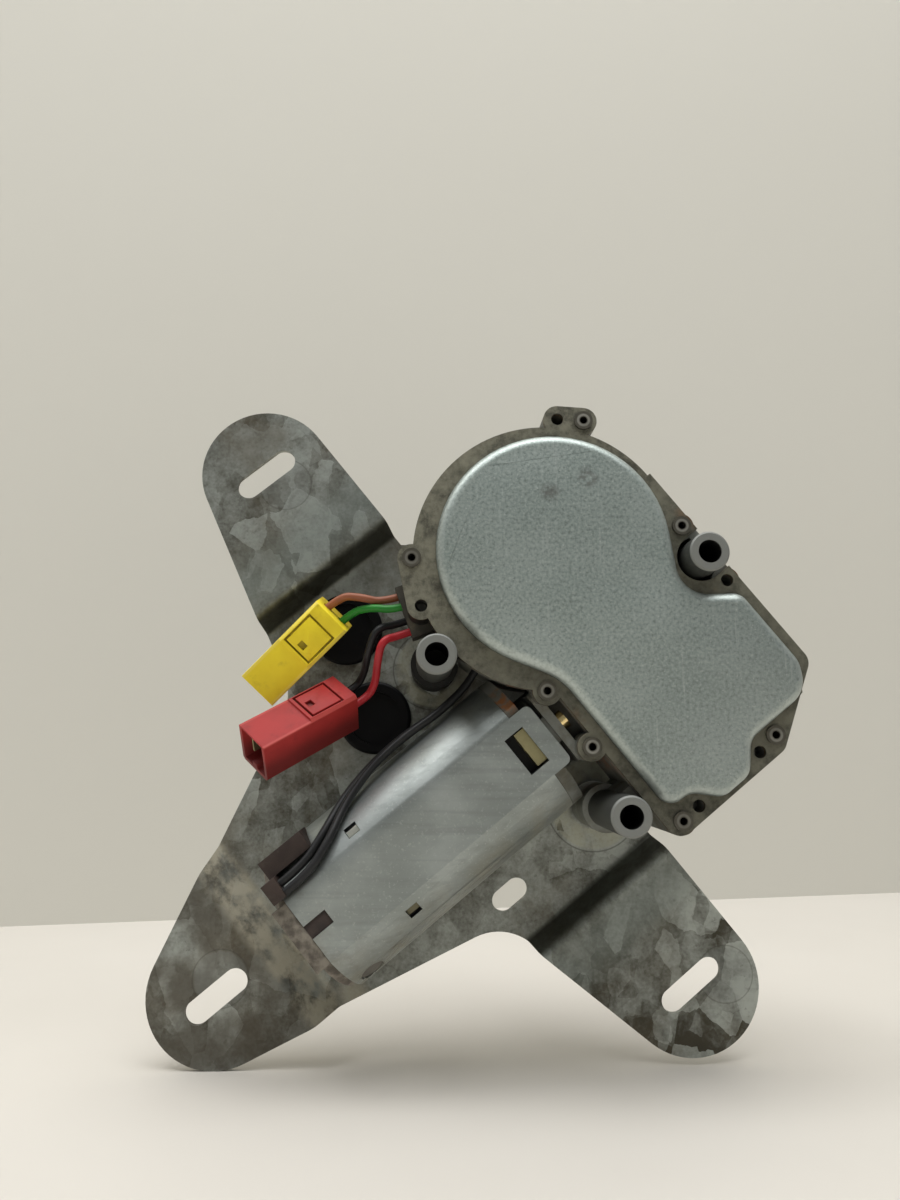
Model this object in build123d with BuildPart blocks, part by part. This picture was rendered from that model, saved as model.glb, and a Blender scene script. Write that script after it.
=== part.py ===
"""Rear wiper motor on its galvanised bracket: motor can, worm gearbox, output shaft and leads."""
import os
from math import atan2, cos, degrees, hypot, pi, radians, sin, tan

from build123d import *

os.makedirs("parts", exist_ok=True)

# Frame: X right, Z up, the cover faces -Y and the output shaft points along +Y.
# Pieces are drawn in the front view: a runs along the motor, b across it, h towards the viewer.
# The origin lies on the output shaft's axis, in the plane of the pads' rear faces.
TILT = 39.0
A_DIR = Vector(cos(radians(TILT)), 0, sin(radians(TILT)))
B_DIR = Vector(-sin(radians(TILT)), 0, cos(radians(TILT)))
FRONT = Plane(origin=(0, 0, 0), x_dir=A_DIR, z_dir=(0, -1, 0))

# Bracket
SHEET = 2.0
JOGGLE = 11.0
ARM_R = 22.3
SLOT_LENGTH = 15.2
SLOT_WIDTH = 7.8
PAD_TOP = (-57.9, 153.0)
PAD_LEFT = (-174.9, 25.3)
PAD_LOWER = (-54.4, -69.4)
SPARE_SLOT = (-82.4, -12.1)
SPARE_SLOT_LENGTH = 5.9
SPARE_SLOT_WIDTH = 7.4
CROTCH_UPPER = (-98.5, 87.3)
CROTCH_LOWER = (-89.4, -18.0)
CROTCH_R = 18.0
TOP_FOLD = 114.0
TOP_FOLD_RUN = 4.0
LEFT_FOLD = -156.5
LEFT_FOLD_RUN = 7.5
LOWER_FOLD = -31.0
LOWER_FOLD_RUN = 3.5
BEND_R = 1.5
EMBOSS_R = 13.6
EMBOSS_LOWER_R = 15.8
EMBOSS_SLOPE = 40.0
ARM_TOP_ENDS = (0, 165)
ARM_LEFT_ENDS = (116, 257)
ARM_LOWER_ENDS = (193, 360)
EAR_ENDS = (-35, 55)
NECK_CLEAR = 2.0
SHOULDER = 8.0
SPLIT = 6.0
EMBOSS = 1.5
SHAFT_OPENING_R = 14.0
PLATE_FRONT = SHEET - JOGGLE
PLATE_BACK = -JOGGLE

# Posts that carry the gearbox on the bracket
POST_LEFT = (-54.7, 63.7)
POST_RIGHT = (27.9, 36.6)
POST_LOWER = (-40.7, -7.0)
POSTS = (POST_LEFT, POST_RIGHT, POST_LOWER)
POST_TOP = 49.0
POST_R = 6.0
POST_BORE_R = 3.5
POST_BORE_DEPTH = 24.0
POST_EDGE = 0.5
POST_FOOT_R = 7.8
POST_FOOT_TOP = 14.0
POST_WEB = 9.0
SCREW_R = 3.0
SCREW_GRIP = 14.0
SCREW_HEAD_R = 5.5
SCREW_HEAD = 4.0
SCREW_PLAY = 0.3

# Gear housing and cover
WHEEL_AXIS = (-9.0, 66.5)
HOUSING_BACK = 3.0
HOUSING_FLOOR = 3.0
HOUSING_WALL = 2.0
FLANGE_R = 41.0
FLANGE = 3.5
FLANGE_FACE = 38.4
FLANGE_LIP = 1.2
BOX_LEFT = -33.5
BOX_RIGHT = 33.0
BOX_END = -23.0
BOX_CUT = (12.0, -8.0)
GASKET = 0.4
COVER_SHEET = 1.2
DOME = 4.0
DOME_R = 36.0
DOME_AXIS = (-6.4, 66.5)
DOME_LEFT = -30.0
DOME_RIGHT = 30.0
DOME_END = -21.5
DOME_NOTCH = -14.0
DOME_SLANT = 7.0
DOME_LIFT = 2.0
DOME_EDGE_R = 2.4
POST_NOTCH_R = 9.5
POST_GAP_R = 7.4
POST_NIP = 0.6
RIVETS = (
    (27.6, 92.5), (-41.6, 91.8), (29.6, 47.8), (-35.3, 35.0), (-35.5, 14.0), (9.5, -17.9), (-28.6, -19.2),
)
PLAIN_HOLES = ((21.6, 98.0), (-48.5, 78.6), (29.5, 26.2), (2.6, -18.8), (-22.0, -19.0))
EAR_R = 4.3
RIVET_R = 1.9
RIVET_HEAD_R = 2.9
RIVET_HEAD = 0.9
RIVET_BORE_R = 1.1
PLAIN_HOLE_R = 1.9
FIT = 0.05
COVER_BACK = FLANGE_FACE + GASKET
COVER_FACE = COVER_BACK + COVER_SHEET
CAVITY_FLOOR = HOUSING_BACK + HOUSING_FLOOR

# Motor
AXIS_B = 25.0
AXIS_H = 15.1
CAN_R = 23.8
CAN_HALF_HEIGHT = 21.4
CAN_WALL = 1.5
CAN_FRONT = -49.0
TAB_END = -42.0
TAB_WIDTH = 21.3
TAB_CORNER_R = 2.0
WINDOW = (-54.4, -47.5)
WINDOW_WIDTH = 12.8
NOTCH_DEPTH = 7.6
NOTCH_WIDTH = 4.4
LANCE_A = -108.0
LANCE_OFFSET = 14.7
LANCE = (4.2, 3.0)
SIDE_HOLE_R = 4.0
SIDE_HOLE_AHEAD = 6.0
SIDE_HOLE_TURN = 155.0
CAP_BACK = 3.5
CAP_EDGE_R = 1.5
TONGUE = 5.0
TONGUE_THICK = 3.0
TONGUE_LOW = 0.3
KEY = 1.0
NOSE_FLANGE = 4.0
NOSE_PLATE = 3.0
NOSE_PLATE_WIDTH = 25.0
NOSE_PLATE_HALF = 20.0
NOSE_PLATE_R = 3.0
SPIGOT = 6.0
NOSE_R = 13.0
CORE_R = 16.4
CORE_LENGTH = 42.0
CORE_SLOTS = 10
CORE_SLOT = 3.0
CORE_SLOT_DEPTH = 7.0
WINDING_R = 14.5
WINDING_LENGTH = 6.0
WINDING_CLEAR = 1.0
SLOT_LINER = 0.6
MAGNET_IN_R = 17.2
MAGNET_HALF = 16.5
MAGNET_SPACE = 3.5
MAGNET_CLEAR = 1.5
MAGNET_LENGTH = CORE_LENGTH + 2 * (WINDING_LENGTH + WINDING_CLEAR)
MAGNET_REAR = CAN_FRONT - SPIGOT - MAGNET_SPACE - MAGNET_LENGTH
CORE_REAR = MAGNET_REAR + WINDING_LENGTH + WINDING_CLEAR
BUSH_R = 7.0
REAR_BUSH_LENGTH = 6.0
FRONT_BUSH_LENGTH = 8.0
TAIL_BUSH_LENGTH = 6.0
BUSH_BOSS = 2.0
BUSH_SEAT = 2.0
COMMUTATOR_R = 9.0
COMMUTATOR_LENGTH = 11.0
COMMUTATOR_CLEAR = 1.5
COMMUTATOR_BARS = 10
COMMUTATOR_REAR = MAGNET_REAR - COMMUTATOR_LENGTH
CAN_REAR = COMMUTATOR_REAR - COMMUTATOR_CLEAR - REAR_BUSH_LENGTH
BRUSH_PLATE = 2.0
BRUSH_PLATE_A = CAN_REAR + CAN_WALL
BRUSH_SIDE = 5.0
BRUSH_LENGTH = 7.0
BRUSH_BOX = 8.0
BRUSH_BOX_OUT = 20.5
BRUSH_CLEAR = 1.0
BRUSH_A = MAGNET_REAR - MAGNET_CLEAR - BRUSH_BOX / 2
ROTOR_R = 4.0
ROTOR_REAR = CAN_REAR - CAN_WALL
TAIL_BLOCK = 10.0
TAIL_WALL = 2.0
POCKET = 5.0
THRUST_PAD = 1.5
NUT_BAR = 4.0
NUT_BAR_WIDTH = 11.6
NUT_BAR_LENGTH = 6.0
LUG_WIDTH = 9.0
LUG_END = -37.5
CAN_SCREW_R = 1.5
CAN_SCREW_HEAD_R = 3.0
CAN_SCREW_HEAD = 2.2
CAN_SCREW_LENGTH = 13.0

# Worm gear
MODULE = 1.25
WHEEL_TEETH = 56
WHEEL_PITCH_R = MODULE * WHEEL_TEETH / 2
WORM_PITCH_R = WHEEL_AXIS[1] - AXIS_B - WHEEL_PITCH_R
WORM_LENGTH = 36.0
WORM_CLEAR = 3.0
ROTOR_FRONT = WHEEL_AXIS[0] + WORM_LENGTH / 2 + WORM_CLEAR + TAIL_BUSH_LENGTH
THREAD_PITCH = pi * MODULE
WORM_DEDENDUM = 1.05 * MODULE
THREAD_ROOT = 0.5 * THREAD_PITCH
THREAD_TIP = 0.22 * THREAD_PITCH
WHEEL_DEDENDUM = 1.2 * MODULE
WHEEL_ADDENDUM = 0.8 * MODULE
WHEEL_TOOTH_ROOT = 1.75 * MODULE
WHEEL_TOOTH_TIP = 0.65 * MODULE
TOOTH_SUNK = 0.25 * MODULE
WHEEL_FACE = 6.0
WHEEL_HUB_R = 12.0
WHEEL_HUB = 10.0
WHEEL_WEB = 3.0
WHEEL_RIM = 4.0
AXLE_R = 4.0
AXLE_BOSS = 3.0
RUNNING_FIT = 0.03
AXIAL_PLAY = 0.3
CRANK_R = 8.2
CRANK_PIN_R = 2.5
CLIP_RING = 1.0
CLIP_RING_R = 5.2

# Crank linkage
GEAR_MODULE = 1.0
PINION_TEETH = 16
SECTOR_TEETH = 32
SECTOR_SHOWN = 7
PINION_R = GEAR_MODULE * PINION_TEETH / 2
SECTOR_R = GEAR_MODULE * SECTOR_TEETH / 2
LINK_LENGTH = PINION_R + SECTOR_R
MESH_ROOT = 1.25 * GEAR_MODULE
MESH_TIP = 0.85 * GEAR_MODULE
MESH_SUNK = 0.75 * GEAR_MODULE
MESH_TOOTH_ROOT = 1.7 * GEAR_MODULE
MESH_TOOTH_TIP = 0.6 * GEAR_MODULE
ROD_BACK = 30.0
ROD = 3.0
ROD_END_R = 5.0
ROD_WIDTH = 9.0
PINION_OVERHANG = 1.0
LINK = 2.0
LINK_PIN_R = 3.0
LINK_PIN_HEAD_R = 4.6
LINK_PIN_HEAD = 1.4

# Output shaft
SHAFT_R = 5.0
SHAFT_TIP = -62.0
THREAD_R = 4.0
THREAD_LENGTH = 14.0
TAPER = 10.0
NECK_R = 10.5
NECK_TIP = -32.0
SHAFT_BUSH_R = 7.5
SHAFT_BUSH_LENGTH = 9.0
SEAL = 3.0
RING = 1.2
RING_R = 7.5

# Leads and connectors
LEAD_D = 2.5
GROMMET_R = 12.5
GROMMET_NECK_R = 9.0
GROMMET_BACK_R = 11.5
GROMMET_LIP = 2.4
GROMMETS = ((-69.6, 93.8), (-81.0, 63.4))
OUTLET_ANGLE = 161.0
OUTLET_R = 46.5
OUTLET = (17.0, 10.0)
OUTLET_H = 22.5
CLIP = (15.0, 5.8, 7.0)
CLIP_AT = (CAN_REAR + 7.3, 46.5, 34.0)
CLIP_END = (4.5, 6.5, 39.0)
LEAD_WALL_ANGLE = 199.2
LEAD_WALL_HOLES = ((0.0, -4.5), (0.0, -1.7))
PLUG = (34.0, 13.6, 14.6)
PLUG_WALL = 1.4
PLUG_EDGE = 1.0
PLUG_SOCKET = 11.0
PLUG_PITCH = 6.4
PLUG_HOLE_DEPTH = 10.0
PLUG_STEP = 0.8
PLUG_RIB = (2.4, 1.6)
LATCH = (10.4, 9.6)
LATCH_AT = -7.0
LATCH_GROOVE = 0.7
LATCH_DEPTH = 1.2
LATCH_HOLE = (2.2, 2.6)
LATCH_HOLE_AT = -4.0
BLADE = (0.8, 5.8)
BLADE_LENGTH = 9.0
BLADE_SLOT = (1.4, 6.4)
LEAD_PLAY = 0.25
OUTLET_HOLE_DEPTH = 7.0
LEAD_OUTER = [
    (-44.9, 54.0, 18.0), (-52.0, 51.6, 18.0), (-63.0, 50.6, 20.0), (-77.0, 51.9, 20.5), (-91.0, 51.2, 22.0),
    (-103.0, 48.6, 26.0), (-112.5, 44.6, 32.3), (-120.5, 41.6, 35.2), (-126.5, 41.0, 36.0),
    (-133.5, 41.0, 36.0),
]
LEAD_INNER = [
    (-44.9, 54.0, 20.8), (-52.0, 51.6, 20.8), (-63.0, 50.4, 22.9), (-77.0, 51.5, 23.4), (-91.0, 50.6, 24.9),
    (-103.0, 47.0, 28.7), (-112.5, 41.9, 34.7), (-120.5, 38.9, 37.1), (-126.5, 38.2, 37.4),
    (-133.5, 38.2, 37.4),
]
WIRE_BROWN = [
    (-45.4, 85.3, 22.0), (-55.7, 88.9, 22.0), (-60.2, 94.4, 24.5), (-65.5, 99.65, 22.45),
    (-77.15, 98.66, 19.73),
]
WIRE_GREEN = [
    (-46.7, 81.6, 25.0), (-54.5, 84.3, 25.2), (-59.8, 90.0, 24.0), (-66.0, 93.27, 21.17),
    (-76.39, 92.38, 18.75),
]
WIRE_BLACK = [
    (-48.0, 77.8, 21.0), (-57.0, 80.9, 21.0), (-62.6, 83.8, 23.8), (-69.5, 79.4, 21.8), (-74.8, 75.2, 16.4),
    (-80.2, 73.6, 14.4), (-91.5, 75.2, 20.4),
]
WIRE_RED = [
    (-49.3, 74.0, 24.0), (-58.8, 77.3, 24.0), (-63.6, 79.2, 27.0), (-68.9, 75.0, 25.0), (-73.6, 70.4, 19.9),
    (-79.0, 68.4, 17.8), (-90.3, 70.0, 23.9),
]
BEND_SHARE = 0.45
YELLOW_AT = (-88.0, 93.4, 24.0)
YELLOW_L = (-0.702, -0.675, -0.226)
YELLOW_U = (-0.051, -0.269, 0.962)
RED_AT = (-96.4, 77.9, 32.0)
RED_L = (-0.756, -0.455, 0.470)
RED_U = (0.0, 0.718, 0.695)


def level(h):
    """Plane of the front view at height h."""
    return FRONT.offset(h)


def place(a, b, h):
    """Front-view coordinates to the part's frame."""
    return FRONT.from_local_coords(Vector(a, b, h))


def across(a):
    """Plane across the motor's axis: x is b, y is h, z runs along the motor."""
    return Plane(origin=place(a, AXIS_B, AXIS_H), x_dir=B_DIR, z_dir=A_DIR)


def outward(angle):
    """Plane that looks out of the housing's round wall at one angle: x runs along the wall, y is h."""
    along = A_DIR * -sin(radians(angle)) + B_DIR * cos(radians(angle))
    out = A_DIR * cos(radians(angle)) + B_DIR * sin(radians(angle))
    return Plane(origin=place(*WHEEL_AXIS, OUTLET_H), x_dir=along, z_dir=out)


def rim(centre, radius, angle):
    """Point on a circle in the front view."""
    return (centre[0] + radius * cos(radians(angle)), centre[1] + radius * sin(radians(angle)))


def discs(plane, radius, length, spots=((0, 0),), mode=Mode.ADD):
    """Round bars of one radius on the given spots of a plane."""
    with BuildSketch(plane) as ring:
        with Locations(*spots):
            Circle(radius)
    extrude(ring.sketch, amount=length, mode=mode)


def block(plane, width, depth, length, spot=(0, 0), mode=Mode.ADD):
    """Rectangular bar on one spot of a plane."""
    with BuildSketch(plane) as outline:
        with Locations(spot):
            Rectangle(width, depth)
    extrude(outline.sketch, amount=length, mode=mode)


def save(piece, label):
    """Label one piece and write its file."""
    piece.part.label = label
    export_step(piece.part, "parts/" + label + ".step")


def link_joint():
    """Rest place of the link's pin: the link stands square to the rod's middle position."""
    away = hypot(*WHEEL_AXIS)
    towards = degrees(atan2(WHEEL_AXIS[1], WHEEL_AXIS[0]))
    return towards + degrees(atan2((away**2 - LINK_LENGTH**2) ** 0.5, LINK_LENGTH))


LINK_ANGLE = link_joint()
LINK_PIN = rim((0, 0), LINK_LENGTH, LINK_ANGLE)
ROD_LEAN = degrees(atan2(LINK_PIN[1] - WHEEL_AXIS[1], LINK_PIN[0] - WHEEL_AXIS[0]))
CRANK_PIN = rim(WHEEL_AXIS, CRANK_R, ROD_LEAN + 90)


# Bracket: one galvanised sheet with three arms, folded so that the pads stand in front of the plate
def bracket_outline(plane):
    """Outline of the sheet with its three round arm ends."""
    with BuildSketch(plane) as outline:
        with BuildLine():
            Polyline(
                *(rim(PAD_TOP, ARM_R, angle) for angle in ARM_TOP_ENDS),
                CROTCH_UPPER,
                *(rim(PAD_LEFT, ARM_R, angle) for angle in ARM_LEFT_ENDS),
                CROTCH_LOWER,
                *(rim(PAD_LOWER, ARM_R, angle) for angle in ARM_LOWER_ENDS),
                (PAD_LOWER[0] + ARM_R, BOX_END),
                (SHAFT_OPENING_R, BOX_END + NECK_CLEAR),
                *(rim(POST_RIGHT, EMBOSS_R, angle) for angle in EAR_ENDS),
                (PAD_TOP[0] + ARM_R, TOP_FOLD - SHOULDER),
                close=True,
            )
        make_face()
        with Locations(PAD_TOP, PAD_LEFT, PAD_LOWER):
            Circle(ARM_R)
        with Locations(POST_RIGHT):
            Circle(EMBOSS_R)
        for corner in (CROTCH_UPPER, CROTCH_LOWER):
            fillet(outline.vertices().sort_by_distance(corner)[0], CROTCH_R)
    return outline.sketch


def fold(at, run, side):
    """Corners of one fold on edge, front pair then back pair; side says which way the pad lies."""
    thick = side * SHEET / sin(atan2(JOGGLE, run))
    step = side * run
    front = [(at, SHEET), (at - step, PLATE_FRONT)]
    back = [(at - step * SHEET / JOGGLE + thick, 0), (at - step * (1 + SHEET / JOGGLE) + thick, PLATE_BACK)]
    return front, back


def round_bends(section, *folds):
    """Bend radii of the sheet at the corners of its folds."""
    for front, back in folds:
        for corner, radius in zip(front + back, (BEND_R + SHEET, BEND_R, BEND_R, BEND_R + SHEET)):
            fillet(section.vertices().sort_by_distance(corner)[0], radius)


with BuildPart() as bracket:
    reach = PAD_TOP[1] + 2 * ARM_R
    split_a = CROTCH_UPPER[0] - SPLIT
    top_front, top_back = fold(TOP_FOLD, TOP_FOLD_RUN, 1)
    low_front, low_back = fold(LOWER_FOLD, LOWER_FOLD_RUN, -1)
    left_front, left_back = fold(LEFT_FOLD, LEFT_FOLD_RUN, -1)
    with BuildSketch(Plane(origin=place(split_a, 0, 0), x_dir=B_DIR, z_dir=A_DIR)) as section:
        with BuildLine():
            Polyline(
                (reach, 0), (reach, SHEET), *top_front, *reversed(low_front),
                (-reach, SHEET), (-reach, 0), *low_back, *reversed(top_back), close=True,
            )
        make_face()
        round_bends(section, (top_front, top_back), (low_front, low_back))
    extrude(amount=reach)
    with BuildSketch(Plane(origin=place(0, reach, 0), x_dir=A_DIR, z_dir=-B_DIR)) as section:
        with BuildLine():
            Polyline(
                (-2 * reach, 0), (-2 * reach, SHEET), *left_front,
                (split_a, PLATE_FRONT), (split_a, PLATE_BACK), *reversed(left_back), close=True,
            )
        make_face()
        round_bends(section, (left_front, left_back))
    extrude(amount=2 * reach)
    extrude(bracket_outline(level(-2 * JOGGLE)), amount=4 * JOGGLE, mode=Mode.INTERSECT)
    for spot, radius in ((POST_LEFT, EMBOSS_R), (POST_RIGHT, EMBOSS_R), (POST_LOWER, EMBOSS_LOWER_R)):
        with BuildSketch(level(PLATE_FRONT)) as seat:
            with Locations(spot):
                Circle(radius)
        extrude(seat.sketch, amount=EMBOSS, taper=EMBOSS_SLOPE)
        discs(level(PLATE_BACK), radius - SHEET, EMBOSS, (spot,), Mode.SUBTRACT)
    discs(level(2 * PLATE_BACK), SCREW_R + SCREW_PLAY, 4 * JOGGLE, POSTS, Mode.SUBTRACT)
    discs(level(2 * PLATE_BACK), SHAFT_OPENING_R, 4 * JOGGLE, ((0, 0),), Mode.SUBTRACT)
    discs(level(2 * PLATE_BACK), GROMMET_NECK_R, 4 * JOGGLE, GROMMETS, Mode.SUBTRACT)
    with BuildSketch(level(2 * PLATE_BACK)):
        with Locations(PAD_TOP, PAD_LEFT, PAD_LOWER):
            SlotCenterToCenter(SLOT_LENGTH, SLOT_WIDTH)
        with Locations(SPARE_SLOT):
            SlotCenterToCenter(SPARE_SLOT_LENGTH, SPARE_SLOT_WIDTH)
    extrude(amount=4 * JOGGLE, mode=Mode.SUBTRACT)
save(bracket, "bracket")


# Gear housing: die-cast box with a round end for the worm wheel, three feet, a nose for the motor and a neck
def flange_outline(plane):
    """Outline shared by the housing's flange, the gasket and the cover."""
    with BuildSketch(plane) as outline:
        with Locations(WHEEL_AXIS):
            Circle(FLANGE_R)
        with BuildLine():
            Polyline(
                (BOX_LEFT, WHEEL_AXIS[1]), (BOX_LEFT, BOX_END), (BOX_RIGHT - 2 * BOX_CUT[0], BOX_END),
                (BOX_RIGHT, BOX_CUT[1]), (BOX_RIGHT, WHEEL_AXIS[1]), close=True,
            )
        make_face()
        for pair in ((RIVETS[0], PLAIN_HOLES[0]), (RIVETS[1], PLAIN_HOLES[1])):
            with BuildSketch(mode=Mode.PRIVATE) as lug:
                with Locations(*pair):
                    Circle(EAR_R)
                make_hull()
            add(lug.sketch)
        with Locations(RIVETS[3], RIVETS[4]):
            Circle(EAR_R)
        for corner in ((BOX_LEFT, BOX_END), (BOX_RIGHT - 2 * BOX_CUT[0], BOX_END), (BOX_RIGHT, BOX_CUT[1])):
            fillet(outline.vertices().sort_by_distance(corner)[0], EAR_R)
    return outline.sketch


def box_outline(plane, inset):
    """Outline of the housing's walls: the flange without its ears, drawn in by the inset."""
    with BuildSketch(plane) as outline:
        with Locations(WHEEL_AXIS):
            Circle(FLANGE_R - inset)
        with BuildLine():
            Polyline(
                (BOX_LEFT + inset, WHEEL_AXIS[1]), (BOX_LEFT + inset, BOX_END + inset),
                (BOX_RIGHT - 2 * BOX_CUT[0] - inset / 2, BOX_END + inset),
                (BOX_RIGHT - inset, BOX_CUT[1] + inset / 2), (BOX_RIGHT - inset, WHEEL_AXIS[1]), close=True,
            )
        make_face()
    return outline.sketch


def can_section(plane, inset, radius=CAN_R, half=CAN_HALF_HEIGHT):
    """Round section with flats above and below."""
    with BuildSketch(plane) as section:
        Circle(radius - inset)
        Rectangle(2 * radius, 2 * (half - inset), mode=Mode.INTERSECT)
    return section.sketch


WALL_R = FLANGE_R - FLANGE_LIP
WALL_MIDDLE = BOX_LEFT + FLANGE_LIP + HOUSING_WALL / 2
POST_LEFT_TURN = degrees(atan2(POST_LEFT[1] - WHEEL_AXIS[1], POST_LEFT[0] - WHEEL_AXIS[0]))
POST_LEFT_ROOT = rim(WHEEL_AXIS, WALL_R - HOUSING_WALL / 2, POST_LEFT_TURN)
NOSE_FACE = CAN_FRONT + NOSE_FLANGE
POCKET_FLOOR = CAN_HALF_HEIGHT - CAN_WALL - POCKET
CAN_SCREW_H = POCKET_FLOOR + NUT_BAR / 2
TAIL_BUSH_A = ROTOR_FRONT - TAIL_BUSH_LENGTH
POST_BACK = PLATE_FRONT + EMBOSS
CAN_SCREWS = ((0, CAN_SCREW_H), (0, -CAN_SCREW_H))

with BuildPart() as gear_housing:
    extrude(box_outline(level(HOUSING_BACK), FLANGE_LIP), amount=FLANGE_FACE - HOUSING_BACK)
    extrude(flange_outline(level(FLANGE_FACE - FLANGE)), amount=FLANGE)
    inside = box_outline(level(CAVITY_FLOOR), FLANGE_LIP + HOUSING_WALL)
    extrude(inside, amount=FLANGE_FACE, mode=Mode.SUBTRACT)
    discs(level(FLANGE_FACE - 3 * FLANGE), EAR_R, 3 * FLANGE, RIVETS + PLAIN_HOLES)
    discs(level(POST_BACK), POST_FOOT_R, POST_FOOT_TOP - POST_BACK, POSTS)
    for spot, root in ((POST_LEFT, POST_LEFT_ROOT), (POST_LOWER, (WALL_MIDDLE, POST_LOWER[1]))):
        lean = degrees(atan2(root[1] - spot[1], root[0] - spot[0]))
        run = hypot(root[0] - spot[0], root[1] - spot[1])
        with BuildSketch(level(HOUSING_BACK)) as web:
            with Locations(Location((spot[0], spot[1], 0), (0, 0, lean))):
                Rectangle(run, POST_WEB, align=(Align.MIN, Align.CENTER))
        extrude(web.sketch, amount=FLANGE_FACE - FLANGE - HOUSING_BACK)
    extrude(can_section(across(CAN_FRONT), 0, half=CAN_HALF_HEIGHT - CAN_WALL), amount=NOSE_FLANGE)
    with BuildSketch(across(LUG_END - NOSE_PLATE)) as nose_plate:
        RectangleRounded(NOSE_PLATE_WIDTH, 2 * NOSE_PLATE_HALF, NOSE_PLATE_R)
    extrude(nose_plate.sketch, amount=NOSE_PLATE)
    discs(across(CAN_FRONT), NOSE_R, WALL_MIDDLE - CAN_FRONT)
    extrude(can_section(across(CAN_FRONT - SPIGOT), CAN_WALL), amount=SPIGOT)
    tail_top = AXIS_H + BUSH_R + TAIL_WALL
    block(level(CAVITY_FLOOR), TAIL_BLOCK, 2 * (BUSH_R + TAIL_WALL), tail_top - CAVITY_FLOOR,
          (TAIL_BUSH_A + TAIL_BLOCK / 2, AXIS_B))
    axle_seat = AXIS_H - WHEEL_HUB / 2 - AXIAL_PLAY
    discs(level(CAVITY_FLOOR), AXLE_R + AXLE_BOSS, axle_seat - CAVITY_FLOOR, (WHEEL_AXIS,))
    discs(level(NECK_TIP), NECK_R, CAVITY_FLOOR - NECK_TIP)
    discs(level(NECK_TIP), SHAFT_BUSH_R, CAVITY_FLOOR - NECK_TIP, ((0, 0),), Mode.SUBTRACT)
    discs(level(HOUSING_BACK), AXLE_R, 2 * AXIS_H, (WHEEL_AXIS,), Mode.SUBTRACT)
    bore_end = TAIL_BUSH_A + TAIL_BUSH_LENGTH + AXIAL_PLAY + THRUST_PAD
    discs(across(CAN_FRONT - SPIGOT), BUSH_R, bore_end - CAN_FRONT + SPIGOT, ((0, 0),), Mode.SUBTRACT)
    discs(across(CAN_FRONT - SPIGOT), NOSE_R, SPIGOT - BUSH_SEAT, ((0, 0),), Mode.SUBTRACT)
    for side in (1, -1):
        block(across(WINDOW[0]), WINDOW_WIDTH, 2 * POCKET, NOSE_FACE - WINDOW[0],
              (0, side * (CAN_HALF_HEIGHT - CAN_WALL)), Mode.SUBTRACT)
        lug_spot = (0, side * (CAN_SCREW_H - NUT_BAR / 4))
        block(across(NOSE_FACE), LUG_WIDTH, 3 * NUT_BAR / 2, LUG_END - NOSE_FACE, lug_spot)
    discs(level(POST_BACK), POST_R, POST_TOP - POST_BACK, POSTS, Mode.SUBTRACT)
    discs(level(FLANGE_FACE - 2 * FLANGE), RIVET_R + FIT, 2 * FLANGE, RIVETS, Mode.SUBTRACT)
    discs(level(FLANGE_FACE - 2 * FLANGE), PLAIN_HOLE_R, 2 * FLANGE, PLAIN_HOLES, Mode.SUBTRACT)
    discs(across(NOSE_FACE), CAN_SCREW_R, LUG_END - NOSE_FACE, CAN_SCREWS, Mode.SUBTRACT)
    lead_wall = outward(LEAD_WALL_ANGLE).offset(WALL_R - HOUSING_WALL)
    discs(lead_wall, LEAD_D / 2 + LEAD_PLAY, 2 * HOUSING_WALL, LEAD_WALL_HOLES, Mode.SUBTRACT)
save(gear_housing, "gear_housing")

# Posts: turned sleeves cast into the housing's feet, tapped from behind and bored from the front
with BuildPart() as posts:
    discs(level(POST_BACK), POST_R, POST_TOP - POST_BACK, POSTS)
    chamfer(posts.faces().sort_by(Axis.Y)[:3].edges(), POST_EDGE)
    discs(level(POST_TOP - POST_BORE_DEPTH), POST_BORE_R, POST_BORE_DEPTH, POSTS, Mode.SUBTRACT)
    discs(level(PLATE_BACK), SCREW_R, SCREW_GRIP + SHEET, POSTS, Mode.SUBTRACT)
save(posts, "posts")


# Cover: pressed zinc-coated sheet, staked to the housing on a paper gasket
def dome_outline(plane, inset):
    """Raised part of the cover, notched for the fixings along its edge and for the right post."""
    with BuildSketch(plane) as outline:
        with Locations(DOME_AXIS):
            Circle(DOME_R - inset)
        with BuildLine():
            Polyline(
                (DOME_LEFT + inset, WHEEL_AXIS[1]),
                (DOME_LEFT + inset, DOME_NOTCH + inset),
                (PLAIN_HOLES[4][0] + inset, DOME_NOTCH + inset),
                (PLAIN_HOLES[4][0] + DOME_SLANT + inset, DOME_END + inset),
                (PLAIN_HOLES[3][0] - DOME_SLANT - inset, DOME_END + inset),
                (PLAIN_HOLES[3][0] - inset, DOME_NOTCH + inset),
                (BOX_RIGHT + BOX_CUT[1] - inset / 2, DOME_NOTCH + inset),
                (DOME_RIGHT - inset, BOX_CUT[1] + DOME_LIFT + inset / 2),
                (DOME_RIGHT - inset, WHEEL_AXIS[1]),
                close=True,
            )
        make_face()
        with Locations(POST_RIGHT):
            Circle(POST_NOTCH_R + inset, mode=Mode.SUBTRACT)
        with Locations(RIVETS[2], PLAIN_HOLES[2]):
            Circle(EAR_R + inset, mode=Mode.SUBTRACT)
    return outline.sketch


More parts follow.
